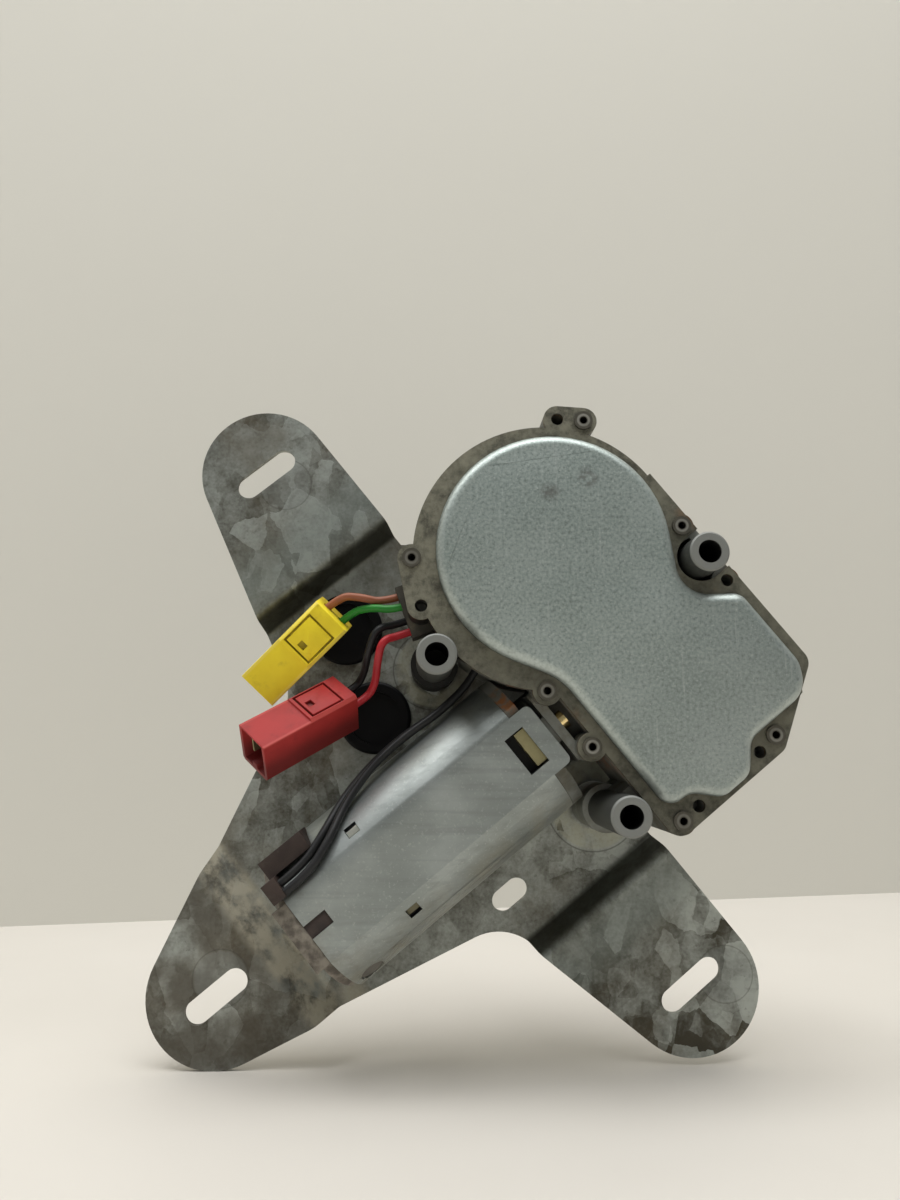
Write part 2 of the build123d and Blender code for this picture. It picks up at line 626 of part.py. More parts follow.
def post_gap(h, thickness):
    """Open notches for the right and left posts in a sheet of the cover."""
    discs(level(h), POST_GAP_R, thickness, (POST_RIGHT,), Mode.SUBTRACT)
    discs(level(h), POST_R + POST_NIP, thickness, (POST_LEFT,), Mode.SUBTRACT)
    way_out = (POST_RIGHT[0] + POST_GAP_R / 2, POST_RIGHT[1])
    block(level(h), POST_GAP_R, 2 * POST_GAP_R, thickness, way_out, Mode.SUBTRACT)


with BuildPart() as cover_gasket:
    extrude(flange_outline(level(FLANGE_FACE)), amount=GASKET)
    extrude(box_outline(level(FLANGE_FACE), FLANGE_LIP + HOUSING_WALL), amount=GASKET, mode=Mode.SUBTRACT)
    discs(level(FLANGE_FACE), EAR_R, GASKET, RIVETS + PLAIN_HOLES)
    discs(level(FLANGE_FACE), RIVET_R + FIT, GASKET, RIVETS, Mode.SUBTRACT)
    discs(level(FLANGE_FACE), PLAIN_HOLE_R, GASKET, PLAIN_HOLES, Mode.SUBTRACT)
    post_gap(FLANGE_FACE, GASKET)
save(cover_gasket, "cover_gasket")

with BuildPart() as gear_cover:
    extrude(dome_outline(level(COVER_BACK), 0), amount=COVER_SHEET + DOME)
    fillet(gear_cover.faces().sort_by(Axis.Y)[0].edges(), DOME_EDGE_R)
    extrude(flange_outline(level(COVER_BACK)), amount=COVER_SHEET)
    extrude(dome_outline(level(COVER_BACK), COVER_SHEET), amount=DOME, mode=Mode.SUBTRACT)
    discs(level(COVER_BACK), RIVET_R + FIT, COVER_SHEET, RIVETS, Mode.SUBTRACT)
    discs(level(COVER_BACK), PLAIN_HOLE_R, COVER_SHEET, PLAIN_HOLES, Mode.SUBTRACT)
    post_gap(COVER_BACK, COVER_SHEET)
save(gear_cover, "gear_cover")

with BuildPart() as cover_rivets:
    discs(level(FLANGE_FACE - FLANGE), RIVET_R, FLANGE + GASKET + COVER_SHEET, RIVETS)
    discs(level(COVER_FACE), RIVET_HEAD_R, RIVET_HEAD, RIVETS)
    discs(level(FLANGE_FACE - FLANGE), RIVET_BORE_R, 3 * FLANGE, RIVETS, Mode.SUBTRACT)
save(cover_rivets, "cover_rivets")

with BuildPart() as bracket_screws:
    discs(level(PLATE_BACK - SCREW_HEAD), SCREW_HEAD_R, SCREW_HEAD, POSTS)
    discs(level(PLATE_BACK), SCREW_R, SCREW_GRIP, POSTS)
save(bracket_screws, "bracket_screws")

# Motor: deep-drawn can with flats, magnets, end cap and brush gear
MOTOR_AXIS = Axis(place(0, AXIS_B, AXIS_H), A_DIR)
CAN_LENGTH = CAN_FRONT - CAN_REAR
FLAT_TOP = CAN_HALF_HEIGHT - CAN_WALL / 2

with BuildPart() as motor_can:
    extrude(can_section(across(CAN_REAR), 0), amount=CAN_LENGTH)
    extrude(can_section(across(CAN_REAR), CAN_WALL), amount=CAN_LENGTH, mode=Mode.SUBTRACT)
    for side in (1, -1):
        block(across(CAN_FRONT), TAB_WIDTH, CAN_WALL, TAB_END - CAN_FRONT, (0, side * FLAT_TOP))
    fillet(motor_can.edges().filter_by(Axis.Y).sort_by(MOTOR_AXIS)[-4:], TAB_CORNER_R)
    window_length = WINDOW[1] - WINDOW[0]
    for side in (1, -1):
        flat_spot = (0, side * FLAT_TOP)
        block(across(WINDOW[0]), WINDOW_WIDTH, 2 * CAN_WALL, window_length, flat_spot, Mode.SUBTRACT)
        lance_spot = (side * LANCE_OFFSET, FLAT_TOP - CAN_WALL)
        block(across(LANCE_A), LANCE[1], 6 * CAN_WALL, LANCE[0], lance_spot, Mode.SUBTRACT)
    block(across(CAN_REAR), NOTCH_WIDTH, 2 * CAN_WALL, NOTCH_DEPTH, (0, FLAT_TOP), Mode.SUBTRACT)
    hole_seat = across(CAN_REAR + SIDE_HOLE_AHEAD)
    turn = radians(SIDE_HOLE_TURN)
    side_dir = hole_seat.x_dir * cos(turn) + hole_seat.y_dir * sin(turn)
    side_hole = Plane(origin=hole_seat.origin, x_dir=A_DIR, z_dir=side_dir).offset(CAN_R - 2 * CAN_WALL)
    discs(side_hole, SIDE_HOLE_R, 4 * CAN_WALL, ((0, 0),), Mode.SUBTRACT)
save(motor_can, "motor_can")

with BuildPart() as rear_end_cap:
    extrude(can_section(across(CAN_REAR - CAP_BACK), CAN_WALL), amount=BRUSH_PLATE_A - CAN_REAR + CAP_BACK)
    fillet(rear_end_cap.faces().sort_by(MOTOR_AXIS)[0].edges(), CAP_EDGE_R)
    tongue_middle = CAN_HALF_HEIGHT - TONGUE_LOW - TONGUE_THICK / 2
    block(across(CAN_REAR - TONGUE), TAB_WIDTH, TONGUE_THICK, TONGUE, (0, tongue_middle))
    key_middle = CAN_HALF_HEIGHT - CAN_WALL + KEY / 2
    key_length = TONGUE / 2 + NOTCH_DEPTH - FIT
    block(across(CAN_REAR - TONGUE / 2), NOTCH_WIDTH - 2 * FIT, KEY, key_length, (0, key_middle))
    discs(across(CAN_REAR), BUSH_R + BUSH_BOSS, REAR_BUSH_LENGTH)
    discs(across(ROTOR_REAR - AXIAL_PLAY), BUSH_R, 2 * REAR_BUSH_LENGTH, ((0, 0),), Mode.SUBTRACT)
save(rear_end_cap, "rear_end_cap")

with BuildPart() as magnets:
    with BuildSketch(across(MAGNET_REAR)):
        Circle(CAN_R - CAN_WALL)
        Circle(MAGNET_IN_R, mode=Mode.SUBTRACT)
        Rectangle(2 * CAN_R, 2 * MAGNET_HALF, mode=Mode.INTERSECT)
    extrude(amount=MAGNET_LENGTH)
save(magnets, "magnets")

for label, start, length in (
    ("rear_bush", CAN_REAR, REAR_BUSH_LENGTH),
    ("front_bush", CAN_FRONT - BUSH_SEAT, FRONT_BUSH_LENGTH),
    ("tail_bush", TAIL_BUSH_A, TAIL_BUSH_LENGTH),
):
    with BuildPart() as bush:
        discs(across(start), BUSH_R, length)
        discs(across(start), ROTOR_R + RUNNING_FIT, length, ((0, 0),), Mode.SUBTRACT)
    save(bush, label)

with BuildPart() as thrust_pad:
    discs(across(ROTOR_FRONT + AXIAL_PLAY), BUSH_R, THRUST_PAD)
save(thrust_pad, "thrust_pad")

BRUSH_IN = COMMUTATOR_R + FIT

with BuildPart() as brush_plate:
    extrude(can_section(across(BRUSH_PLATE_A), CAN_WALL), amount=BRUSH_PLATE)
    box_reach = BRUSH_BOX_OUT - BRUSH_IN - BRUSH_LENGTH / 4
    box_a = BRUSH_PLATE_A + BRUSH_PLATE
    guide = BRUSH_SIDE + 2 * FIT
    for side in (1, -1):
        box_spot = (side * (BRUSH_BOX_OUT - box_reach / 2), 0)
        block(across(box_a), box_reach, BRUSH_BOX, BRUSH_A + BRUSH_BOX / 2 - box_a, box_spot)
    block(across(BRUSH_A - guide / 2), 2 * BRUSH_BOX_OUT, guide, guide, (0, 0), Mode.SUBTRACT)
    discs(across(BRUSH_PLATE_A), COMMUTATOR_R + BRUSH_CLEAR, BRUSH_PLATE, ((0, 0),), Mode.SUBTRACT)
save(brush_plate, "brush_plate")

with BuildPart() as brushes:
    for side in (1, -1):
        brush_spot = (side * (BRUSH_IN + BRUSH_LENGTH / 2), 0)
        block(across(BRUSH_A - BRUSH_SIDE / 2), BRUSH_LENGTH, BRUSH_SIDE, BRUSH_SIDE, brush_spot)
save(brushes, "brushes")

# Screws through the housing's nose draw the can up by a brass bar in each of its windows
with BuildPart() as nut_bars:
    for spot in CAN_SCREWS:
        block(across(NOSE_FACE - NUT_BAR_LENGTH), NUT_BAR_WIDTH, NUT_BAR, NUT_BAR_LENGTH, spot)
    discs(across(WINDOW[0]), CAN_SCREW_R, NOSE_FACE - WINDOW[0], CAN_SCREWS, Mode.SUBTRACT)
save(nut_bars, "nut_bars")

with BuildPart() as can_screws:
    discs(across(LUG_END), CAN_SCREW_HEAD_R, CAN_SCREW_HEAD, CAN_SCREWS)
    discs(across(LUG_END - CAN_SCREW_LENGTH), CAN_SCREW_R, CAN_SCREW_LENGTH, CAN_SCREWS)
save(can_screws, "can_screws")

# Armature: shaft with the worm, laminated core, winding and commutator
with BuildPart() as armature_shaft:
    discs(across(ROTOR_REAR), ROTOR_R, ROTOR_FRONT - ROTOR_REAR)
    chamfer(armature_shaft.edges().filter_by(GeomType.CIRCLE), ROTOR_R / 5)
save(armature_shaft, "armature_shaft")

with BuildPart() as armature_core:
    with BuildSketch(across(CORE_REAR)):
        Circle(CORE_R)
        with PolarLocations(CORE_R, CORE_SLOTS):
            Rectangle(2 * CORE_SLOT_DEPTH, CORE_SLOT, mode=Mode.SUBTRACT)
        Circle(ROTOR_R, mode=Mode.SUBTRACT)
    extrude(amount=CORE_LENGTH)
save(armature_core, "armature_core")

WINDING_IN_R = CORE_R - CORE_SLOT_DEPTH + SLOT_LINER
with BuildPart() as armature_winding:
    for start in (CORE_REAR - WINDING_LENGTH, CORE_REAR + CORE_LENGTH):
        with BuildSketch(across(start)):
            Circle(WINDING_R)
            Circle(WINDING_IN_R, mode=Mode.SUBTRACT)
        extrude(amount=WINDING_LENGTH)
    with BuildSketch(across(CORE_REAR)):
        with PolarLocations((WINDING_R + WINDING_IN_R) / 2, CORE_SLOTS):
            Rectangle(WINDING_R - WINDING_IN_R - 2 * FIT, CORE_SLOT - 4 * FIT)
    extrude(amount=CORE_LENGTH)
save(armature_winding, "armature_winding")

with BuildPart() as commutator:
    with BuildSketch(across(COMMUTATOR_REAR)):
        Circle(COMMUTATOR_R)
        with PolarLocations(COMMUTATOR_R, COMMUTATOR_BARS):
            Rectangle(CORE_SLOT, 4 * FIT, mode=Mode.SUBTRACT)
        Circle(ROTOR_R, mode=Mode.SUBTRACT)
    extrude(amount=COMMUTATOR_LENGTH)
save(commutator, "commutator")

# Worm: one thread, with a tooth gap of the wheel facing it at rest
WORM_ROOT_R = WORM_PITCH_R - WORM_DEDENDUM
WORM_TIP_R = WORM_PITCH_R + MODULE
WORM_A = WHEEL_AXIS[0] - WORM_LENGTH / 2
THREAD_TURNS = int(WORM_LENGTH / THREAD_PITCH) - 1
THREAD_A = WHEEL_AXIS[0] - THREAD_TURNS * THREAD_PITCH / 2 + (0 if THREAD_TURNS % 2 else THREAD_PITCH / 2)
THREAD_PATH = across(THREAD_A).location * Helix(THREAD_PITCH, THREAD_TURNS * THREAD_PITCH, WORM_PITCH_R)

with BuildPart() as worm:
    discs(across(WORM_A), WORM_ROOT_R, WORM_LENGTH)
    start = across(THREAD_A)
    with BuildSketch(Plane(origin=start.origin, x_dir=start.x_dir, z_dir=-start.y_dir)):
        sunk = WORM_ROOT_R - TOOTH_SUNK
        with BuildLine():
            Polyline((sunk, -THREAD_ROOT / 2), (WORM_TIP_R, -THREAD_TIP / 2), (WORM_TIP_R, THREAD_TIP / 2),
                     (sunk, THREAD_ROOT / 2), close=True)
        make_face()
    sweep(path=THREAD_PATH, is_frenet=True)
    discs(across(WORM_A), ROTOR_R, WORM_LENGTH, ((0, 0),), Mode.SUBTRACT)
save(worm, "worm")


# Worm wheel: moulded wheel on a fixed axle, with the crank pin on its hub
def gear_teeth(teeth, shown, root_r, tip_r, root_w, tip_w, first):
    """Straight-sided teeth standing on a root circle, the first one at the given angle."""
    for count in range(shown):
        with Locations(Location((0, 0, 0), (0, 0, first + count * 360 / teeth))):
            with BuildLine(mode=Mode.PRIVATE) as flank:
                Polyline(
                    (root_r, -root_w / 2), (tip_r, -tip_w / 2), (tip_r, tip_w / 2), (root_r, root_w / 2),
                    close=True,
                )
            add(make_face(flank.edges(), mode=Mode.PRIVATE))


def centred(plane, spot):
    """The same plane with its origin moved to a spot."""
    origin = plane.from_local_coords(Vector(spot[0], spot[1], 0))
    return Plane(origin=origin, x_dir=plane.x_dir, z_dir=plane.z_dir)


WHEEL_ROOT_R = WHEEL_PITCH_R - WHEEL_DEDENDUM
WHEEL_TIP_R = WHEEL_PITCH_R + WHEEL_ADDENDUM
HUB_BACK = AXIS_H - WHEEL_HUB / 2
HUB_FRONT = AXIS_H + WHEEL_HUB / 2

with BuildPart() as worm_wheel:
    with BuildSketch(centred(level(AXIS_H - WHEEL_FACE / 2), WHEEL_AXIS)):
        Circle(WHEEL_ROOT_R)
        gear_teeth(WHEEL_TEETH, WHEEL_TEETH, WHEEL_ROOT_R - TOOTH_SUNK, WHEEL_TIP_R,
                   WHEEL_TOOTH_ROOT, WHEEL_TOOTH_TIP, -90)
    extrude(amount=WHEEL_FACE)
    recess = (WHEEL_FACE - WHEEL_WEB) / 2
    for back in (AXIS_H - WHEEL_FACE / 2, AXIS_H + WHEEL_FACE / 2 - recess):
        discs(level(back), WHEEL_ROOT_R - WHEEL_RIM, recess, (WHEEL_AXIS,), Mode.SUBTRACT)
    discs(level(HUB_BACK), WHEEL_HUB_R, WHEEL_HUB, (WHEEL_AXIS,))
    discs(level(HUB_BACK), AXLE_R + RUNNING_FIT, WHEEL_HUB, (WHEEL_AXIS,), Mode.SUBTRACT)
save(worm_wheel, "worm_wheel")

with BuildPart() as crank_pin:
    discs(level(HUB_FRONT), CRANK_PIN_R, ROD_BACK - AXIAL_PLAY - HUB_FRONT, (CRANK_PIN,))
save(crank_pin, "crank_pin")

with BuildPart() as wheel_axle:
    discs(level(HOUSING_BACK), AXLE_R, HUB_FRONT + AXIAL_PLAY + 2 * CLIP_RING - HOUSING_BACK, (WHEEL_AXIS,))
save(wheel_axle, "wheel_axle")

with BuildPart() as axle_clip:
    discs(level(HUB_FRONT + AXIAL_PLAY), CLIP_RING_R, CLIP_RING, (WHEEL_AXIS,))
    discs(level(HUB_FRONT + AXIAL_PLAY), AXLE_R, CLIP_RING, (WHEEL_AXIS,), Mode.SUBTRACT)
save(axle_clip, "axle_clip")

# Linkage: the rod's toothed sector rolls on the output pinion, held in mesh by the link
PINION_BACK = ROD_BACK - PINION_OVERHANG
PINION = ROD + 2 * PINION_OVERHANG
LINK_BACK = PINION_BACK + PINION + AXIAL_PLAY

with BuildPart() as pinion:
    with BuildSketch(level(PINION_BACK)):
        Circle(PINION_R - MESH_ROOT)
        gear_teeth(PINION_TEETH, PINION_TEETH, PINION_R - MESH_ROOT - MESH_SUNK, PINION_R + MESH_TIP,
                   MESH_TOOTH_ROOT, MESH_TOOTH_TIP, LINK_ANGLE + 180 / PINION_TEETH)
        Circle(SHAFT_R, mode=Mode.SUBTRACT)
    extrude(amount=PINION)
save(pinion, "pinion")

ROD_LENGTH = hypot(CRANK_PIN[0] - LINK_PIN[0], CRANK_PIN[1] - LINK_PIN[1])
ROD_TURN = degrees(atan2(CRANK_PIN[1] - LINK_PIN[1], CRANK_PIN[0] - LINK_PIN[0]))
SECTOR_STEP = 360 / SECTOR_TEETH

with BuildPart() as sector_rod:
    with BuildSketch(centred(level(ROD_BACK), LINK_PIN)):
        with Locations((0, 0), (ROD_LENGTH * cos(radians(ROD_TURN)), ROD_LENGTH * sin(radians(ROD_TURN)))):
            Circle(ROD_END_R)
        with Locations(Location((0, 0, 0), (0, 0, ROD_TURN))):
            Rectangle(ROD_LENGTH, ROD_WIDTH, align=(Align.MIN, Align.CENTER))
        half_sweep = SECTOR_SHOWN * SECTOR_STEP / 2
        with BuildSketch(mode=Mode.PRIVATE) as fan:
            Circle(SECTOR_R - MESH_ROOT)
            with BuildLine():
                Polyline((0, 0), rim((0, 0), 2 * SECTOR_R, LINK_ANGLE + 180 - half_sweep),
                         rim((0, 0), 3 * SECTOR_R, LINK_ANGLE + 180),
                         rim((0, 0), 2 * SECTOR_R, LINK_ANGLE + 180 + half_sweep), close=True)
            make_face(mode=Mode.INTERSECT)
        add(fan.sketch)
        gear_teeth(SECTOR_TEETH, SECTOR_SHOWN, SECTOR_R - MESH_ROOT - MESH_SUNK, SECTOR_R + MESH_TIP,
                   MESH_TOOTH_ROOT, MESH_TOOTH_TIP, LINK_ANGLE + 180 - (SECTOR_SHOWN - 1) / 2 * SECTOR_STEP)
        Circle(LINK_PIN_R + RUNNING_FIT, mode=Mode.SUBTRACT)
        with Locations((ROD_LENGTH * cos(radians(ROD_TURN)), ROD_LENGTH * sin(radians(ROD_TURN)))):
            Circle(CRANK_PIN_R + RUNNING_FIT, mode=Mode.SUBTRACT)
    extrude(amount=ROD)
save(sector_rod, "sector_rod")

with BuildPart() as link_plate:
    with BuildSketch(level(LINK_BACK)):
        with Locations((0, 0)):
            Circle(SHAFT_R + ROD_END_R / 2)
        with Locations(LINK_PIN):
            Circle(ROD_END_R)
        make_hull()
        Circle(SHAFT_R + RUNNING_FIT, mode=Mode.SUBTRACT)
        with Locations(LINK_PIN):
            Circle(LINK_PIN_R, mode=Mode.SUBTRACT)
    extrude(amount=LINK)
save(link_plate, "link_plate")

with BuildPart() as link_pin:
    pin_back = ROD_BACK - AXIAL_PLAY - LINK_PIN_HEAD
    discs(level(pin_back), LINK_PIN_HEAD_R, LINK_PIN_HEAD, (LINK_PIN,))
    discs(level(pin_back), LINK_PIN_R, LINK_BACK + LINK - pin_back, (LINK_PIN,))
save(link_pin, "link_pin")

# Output shaft: collar under the pinion, two bushes in the neck, tapered seat and thread for the wiper arm
SHAFT_TOP = LINK_BACK + LINK + AXIAL_PLAY + RING
RING_BACK = NECK_TIP - SEAL - AXIAL_PLAY - RING

with BuildPart() as output_shaft:
    discs(level(SHAFT_TIP), THREAD_R, THREAD_LENGTH)
    with BuildSketch(level(SHAFT_TIP + THREAD_LENGTH)):
        Circle(THREAD_R)
    with BuildSketch(level(SHAFT_TIP + THREAD_LENGTH + TAPER)):
        Circle(SHAFT_R)
    loft()
    discs(level(SHAFT_TIP + THREAD_LENGTH + TAPER), SHAFT_R, SHAFT_TOP - SHAFT_TIP - THREAD_LENGTH - TAPER)
    discs(level(CAVITY_FLOOR + AXIAL_PLAY), SHAFT_BUSH_R, PINION_BACK - CAVITY_FLOOR - AXIAL_PLAY)
    chamfer(output_shaft.faces().sort_by(Axis.Y)[-1].edges(), THREAD_R / 5)
save(output_shaft, "output_shaft")

with BuildPart() as shaft_rings:
    for back in (RING_BACK, SHAFT_TOP - RING):
        discs(level(back), RING_R, RING)
        discs(level(back), SHAFT_R, RING, ((0, 0),), Mode.SUBTRACT)
save(shaft_rings, "shaft_rings")

with BuildPart() as shaft_bushes:
    for back in (NECK_TIP, CAVITY_FLOOR - SHAFT_BUSH_LENGTH):
        discs(level(back), SHAFT_BUSH_R, SHAFT_BUSH_LENGTH)
        discs(level(back), SHAFT_R + RUNNING_FIT, SHAFT_BUSH_LENGTH, ((0, 0),), Mode.SUBTRACT)
save(shaft_bushes, "shaft_bushes")

with BuildPart() as shaft_seal:
    discs(level(NECK_TIP - SEAL), NECK_R, SEAL)
    discs(level(NECK_TIP - SEAL), SHAFT_R + RUNNING_FIT, SEAL, ((0, 0),), Mode.SUBTRACT)
save(shaft_seal, "shaft_seal")

# Rubber grommets snapped into the plate
for label, spot in zip(("grommet_upper", "grommet_lower"), GROMMETS):
    with BuildPart() as grommet:
        discs(level(PLATE_FRONT), GROMMET_R, GROMMET_LIP, (spot,))
        fillet(grommet.faces().sort_by(Axis.Y)[0].edges(), GROMMET_LIP / 2)
        discs(level(PLATE_FRONT + GROMMET_LIP / 2), GROMMET_NECK_R, GROMMET_LIP, (spot,), Mode.SUBTRACT)
        discs(level(PLATE_BACK), GROMMET_NECK_R, SHEET + GROMMET_LIP / 2, (spot,))
        discs(level(PLATE_BACK - GROMMET_LIP), GROMMET_BACK_R, GROMMET_LIP, (spot,))
    save(grommet, label)


# Wire outlet: grey plastic block on the housing's round wall, with one hole for each wire
OUTLET_HOLES = ((6.0, 1.5), (2.0, -1.5), (-2.0, 2.5), (-6.0, -0.5))

with BuildPart() as wire_outlet:
    block(outward(OUTLET_ANGLE), *OUTLET, OUTLET_R)
    discs(level(0), WALL_R, POST_TOP, (WHEEL_AXIS,), Mode.SUBTRACT)
    mouth = outward(OUTLET_ANGLE).offset(OUTLET_R - OUTLET_HOLE_DEPTH)
    discs(mouth, LEAD_D / 2 + LEAD_PLAY, OUTLET_HOLE_DEPTH, OUTLET_HOLES, Mode.SUBTRACT)
save(wire_outlet, "wire_outlet")

with BuildPart() as lead_clip:
    hood = (CLIP_AT[1] - AXIS_B, CLIP_AT[2] - CLIP[2] - AXIS_H)
    stop = (CLIP_AT[1] - CLIP[1] / 2 - CLIP_END[1] / 2 - AXIS_B, CLIP_END[2] - CLIP[2] - AXIS_H)
    block(across(CLIP_AT[0] - CLIP[0] / 2), CLIP[1], 2 * CLIP[2], CLIP[0], hood)
    block(across(CAN_REAR - TONGUE / 2), CLIP_END[1], 2 * CLIP[2], CLIP_END[0], stop)
    extrude(can_section(across(CAN_REAR - TONGUE), 0), amount=CAN_LENGTH, mode=Mode.SUBTRACT)
    for route in (LEAD_OUTER, LEAD_INNER):
        end = route[-1]
        end_spot = (end[1] - AXIS_B, end[2] - AXIS_H)
        discs(across(end[0] - LEAD_PLAY), LEAD_D / 2 + LEAD_PLAY, CLIP_END[0], (end_spot,), Mode.SUBTRACT)
save(lead_clip, "lead_clip")


# Connectors: two-way plastic housings with a latch plate, the red one open for blades, the other slotted
def own_plane(at, along, up):
    """Plane of a connector: x towards its mating face, z out of its latch side, origin on that side."""
    ahead = Vector(along[0], -along[2], along[1])
    return Plane(origin=place(*at), x_dir=ahead, z_dir=Vector(up[0], -up[2], up[1]))


def mouth_plane(home, x):
    """Cross-section of a connector at x: its x axis is the connector's y, its y axis the connector's z."""
    middle = home.from_local_coords(Vector(x, 0, -PLUG[2] / 2))
    return Plane(origin=middle, x_dir=home.y_dir, z_dir=home.x_dir)


def plug(home):
    """Housing with chamfered edges, a lower front half, a framed latch plate and two wire holes."""
    with BuildSketch(mouth_plane(home, -PLUG[0] / 2)) as body:
        Rectangle(PLUG[1], PLUG[2])
        chamfer(body.vertices(), PLUG_EDGE)
    extrude(body.sketch, amount=PLUG[0])
    block(home.offset(-PLUG_STEP), PLUG[0] / 2, PLUG[1], PLUG_STEP, (PLUG[0] / 4, 0), Mode.SUBTRACT)
    with BuildSketch(home.offset(-LATCH_DEPTH)) as frame:
        with Locations((LATCH_AT, 0)):
            Rectangle(LATCH[0] + 2 * LATCH_GROOVE, LATCH[1] + 2 * LATCH_GROOVE)
            Rectangle(*LATCH, mode=Mode.SUBTRACT)
    extrude(frame.sketch, amount=LATCH_DEPTH, mode=Mode.SUBTRACT)
    block(home.offset(-LATCH_DEPTH), *LATCH_HOLE, LATCH_DEPTH, (LATCH_HOLE_AT, 0), Mode.SUBTRACT)
    discs(mouth_plane(home, -PLUG[0] / 2), LEAD_D / 2 + LEAD_PLAY, PLUG_HOLE_DEPTH, TERMINALS, Mode.SUBTRACT)


YELLOW = own_plane(YELLOW_AT, YELLOW_L, YELLOW_U)
RED = own_plane(RED_AT, RED_L, RED_U)
TERMINALS = ((PLUG_PITCH / 2, 0), (-PLUG_PITCH / 2, 0))
SOCKET_A = PLUG[0] / 2 - PLUG_SOCKET

with BuildPart() as yellow_connector:
    plug(YELLOW)
    for spot in TERMINALS:
        block(mouth_plane(YELLOW, SOCKET_A), *BLADE_SLOT, PLUG_SOCKET, spot, Mode.SUBTRACT)
save(yellow_connector, "yellow_connector")

with BuildPart() as red_connector:
    plug(RED)
    socket = (PLUG[1] - 2 * PLUG_WALL, PLUG[2] - 2 * PLUG_WALL)
    block(mouth_plane(RED, SOCKET_A), *socket, PLUG_SOCKET, (0, 0), Mode.SUBTRACT)
    block(mouth_plane(RED, SOCKET_A), *PLUG_RIB, PLUG_SOCKET, (0, PLUG_RIB[1] / 2 - socket[1] / 2))
save(red_connector, "red_connector")

with BuildPart() as red_blades:
    for spot in TERMINALS:
        block(mouth_plane(RED, SOCKET_A), *BLADE, BLADE_LENGTH, spot)
save(red_blades, "red_blades")


# Wires and motor leads: round insulation along straight runs and tangent arcs
def bend_radii(points):
    """Radius of each corner of a route: as large as its two runs allow."""
    radii = []
    for before, corner, after in zip(points, points[1:], points[2:]):
        turn = (corner - before).get_angle(after - corner)
        run = min((corner - before).length, (after - corner).length)
        radii.append(BEND_SHARE * run / tan(radians(turn / 2)))
    return radii


for label, route in (
    ("motor_lead_outer", LEAD_OUTER),
    ("motor_lead_inner", LEAD_INNER),
    ("wire_brown", WIRE_BROWN),
    ("wire_green", WIRE_GREEN),
    ("wire_black", WIRE_BLACK),
    ("wire_red", WIRE_RED),
):
    points = [place(*point) for point in route]
    radii = bend_radii(points)
    with BuildPart() as lead:
        with BuildLine() as path:
            FilletPolyline(*points, radius=radii)
        with BuildSketch(Plane(origin=points[0], z_dir=points[1] - points[0])):
            Circle(LEAD_D / 2)
        sweep()
    save(lead, label)
    run = sum(edge.length for edge in path.edges())
    filled = lead.part.volume / (run * pi * LEAD_D**2 / 4)
    print(label, "length", round(run, 1), "filled", round(filled, 3))
    print(label, "radii", [round(radius, 1) for radius in radii])
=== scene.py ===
"""Looks for the wiper motor: finishes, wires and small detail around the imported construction."""
import math

import bpy
from mathutils import Matrix, Vector


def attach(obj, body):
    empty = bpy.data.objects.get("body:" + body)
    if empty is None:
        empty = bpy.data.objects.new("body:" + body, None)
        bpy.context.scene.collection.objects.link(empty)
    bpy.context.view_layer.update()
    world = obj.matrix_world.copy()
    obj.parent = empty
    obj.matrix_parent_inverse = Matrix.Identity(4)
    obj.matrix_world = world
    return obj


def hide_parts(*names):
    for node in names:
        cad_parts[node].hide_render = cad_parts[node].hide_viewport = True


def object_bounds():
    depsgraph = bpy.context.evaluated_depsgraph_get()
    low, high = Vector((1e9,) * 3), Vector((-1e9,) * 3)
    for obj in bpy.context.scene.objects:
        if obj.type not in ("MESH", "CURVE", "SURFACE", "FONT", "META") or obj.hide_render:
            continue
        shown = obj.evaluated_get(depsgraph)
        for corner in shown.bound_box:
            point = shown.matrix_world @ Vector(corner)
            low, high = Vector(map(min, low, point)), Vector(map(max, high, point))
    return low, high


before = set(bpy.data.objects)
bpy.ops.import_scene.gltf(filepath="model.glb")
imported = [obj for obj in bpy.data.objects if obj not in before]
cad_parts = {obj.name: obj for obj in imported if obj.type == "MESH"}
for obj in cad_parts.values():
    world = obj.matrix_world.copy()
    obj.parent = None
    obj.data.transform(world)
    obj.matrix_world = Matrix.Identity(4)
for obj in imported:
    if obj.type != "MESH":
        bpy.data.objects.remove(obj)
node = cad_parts
cad_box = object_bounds()

# Camera: a telephone held at arm's length in front of the cover.
# It stands a little below the middle of the part and looks slightly up.
CAMERA_AT = Vector((-0.0878, -0.3080, -0.0102))
CAMERA_AHEAD = Vector((0.03447, 0.98709, 0.15643))
CAMERA_RIGHT = Vector((0.99939, -0.0349, 0.0))
CAMERA_LENS = 27.0
CAMERA_NEAREST = 0.01

ahead = CAMERA_AHEAD.normalized()
right = (CAMERA_RIGHT - CAMERA_RIGHT.dot(ahead) * ahead).normalized()
up = right.cross(ahead)
camera = bpy.data.objects.new("camera", bpy.data.cameras.new("camera"))
bpy.context.collection.objects.link(camera)
camera.matrix_world = Matrix.Translation(CAMERA_AT) @ Matrix((right, up, -ahead)).transposed().to_4x4()
camera.data.lens = CAMERA_LENS
camera.data.clip_start = CAMERA_NEAREST
bpy.context.scene.camera = camera
bpy.context.scene.view_settings.view_transform = "Standard"

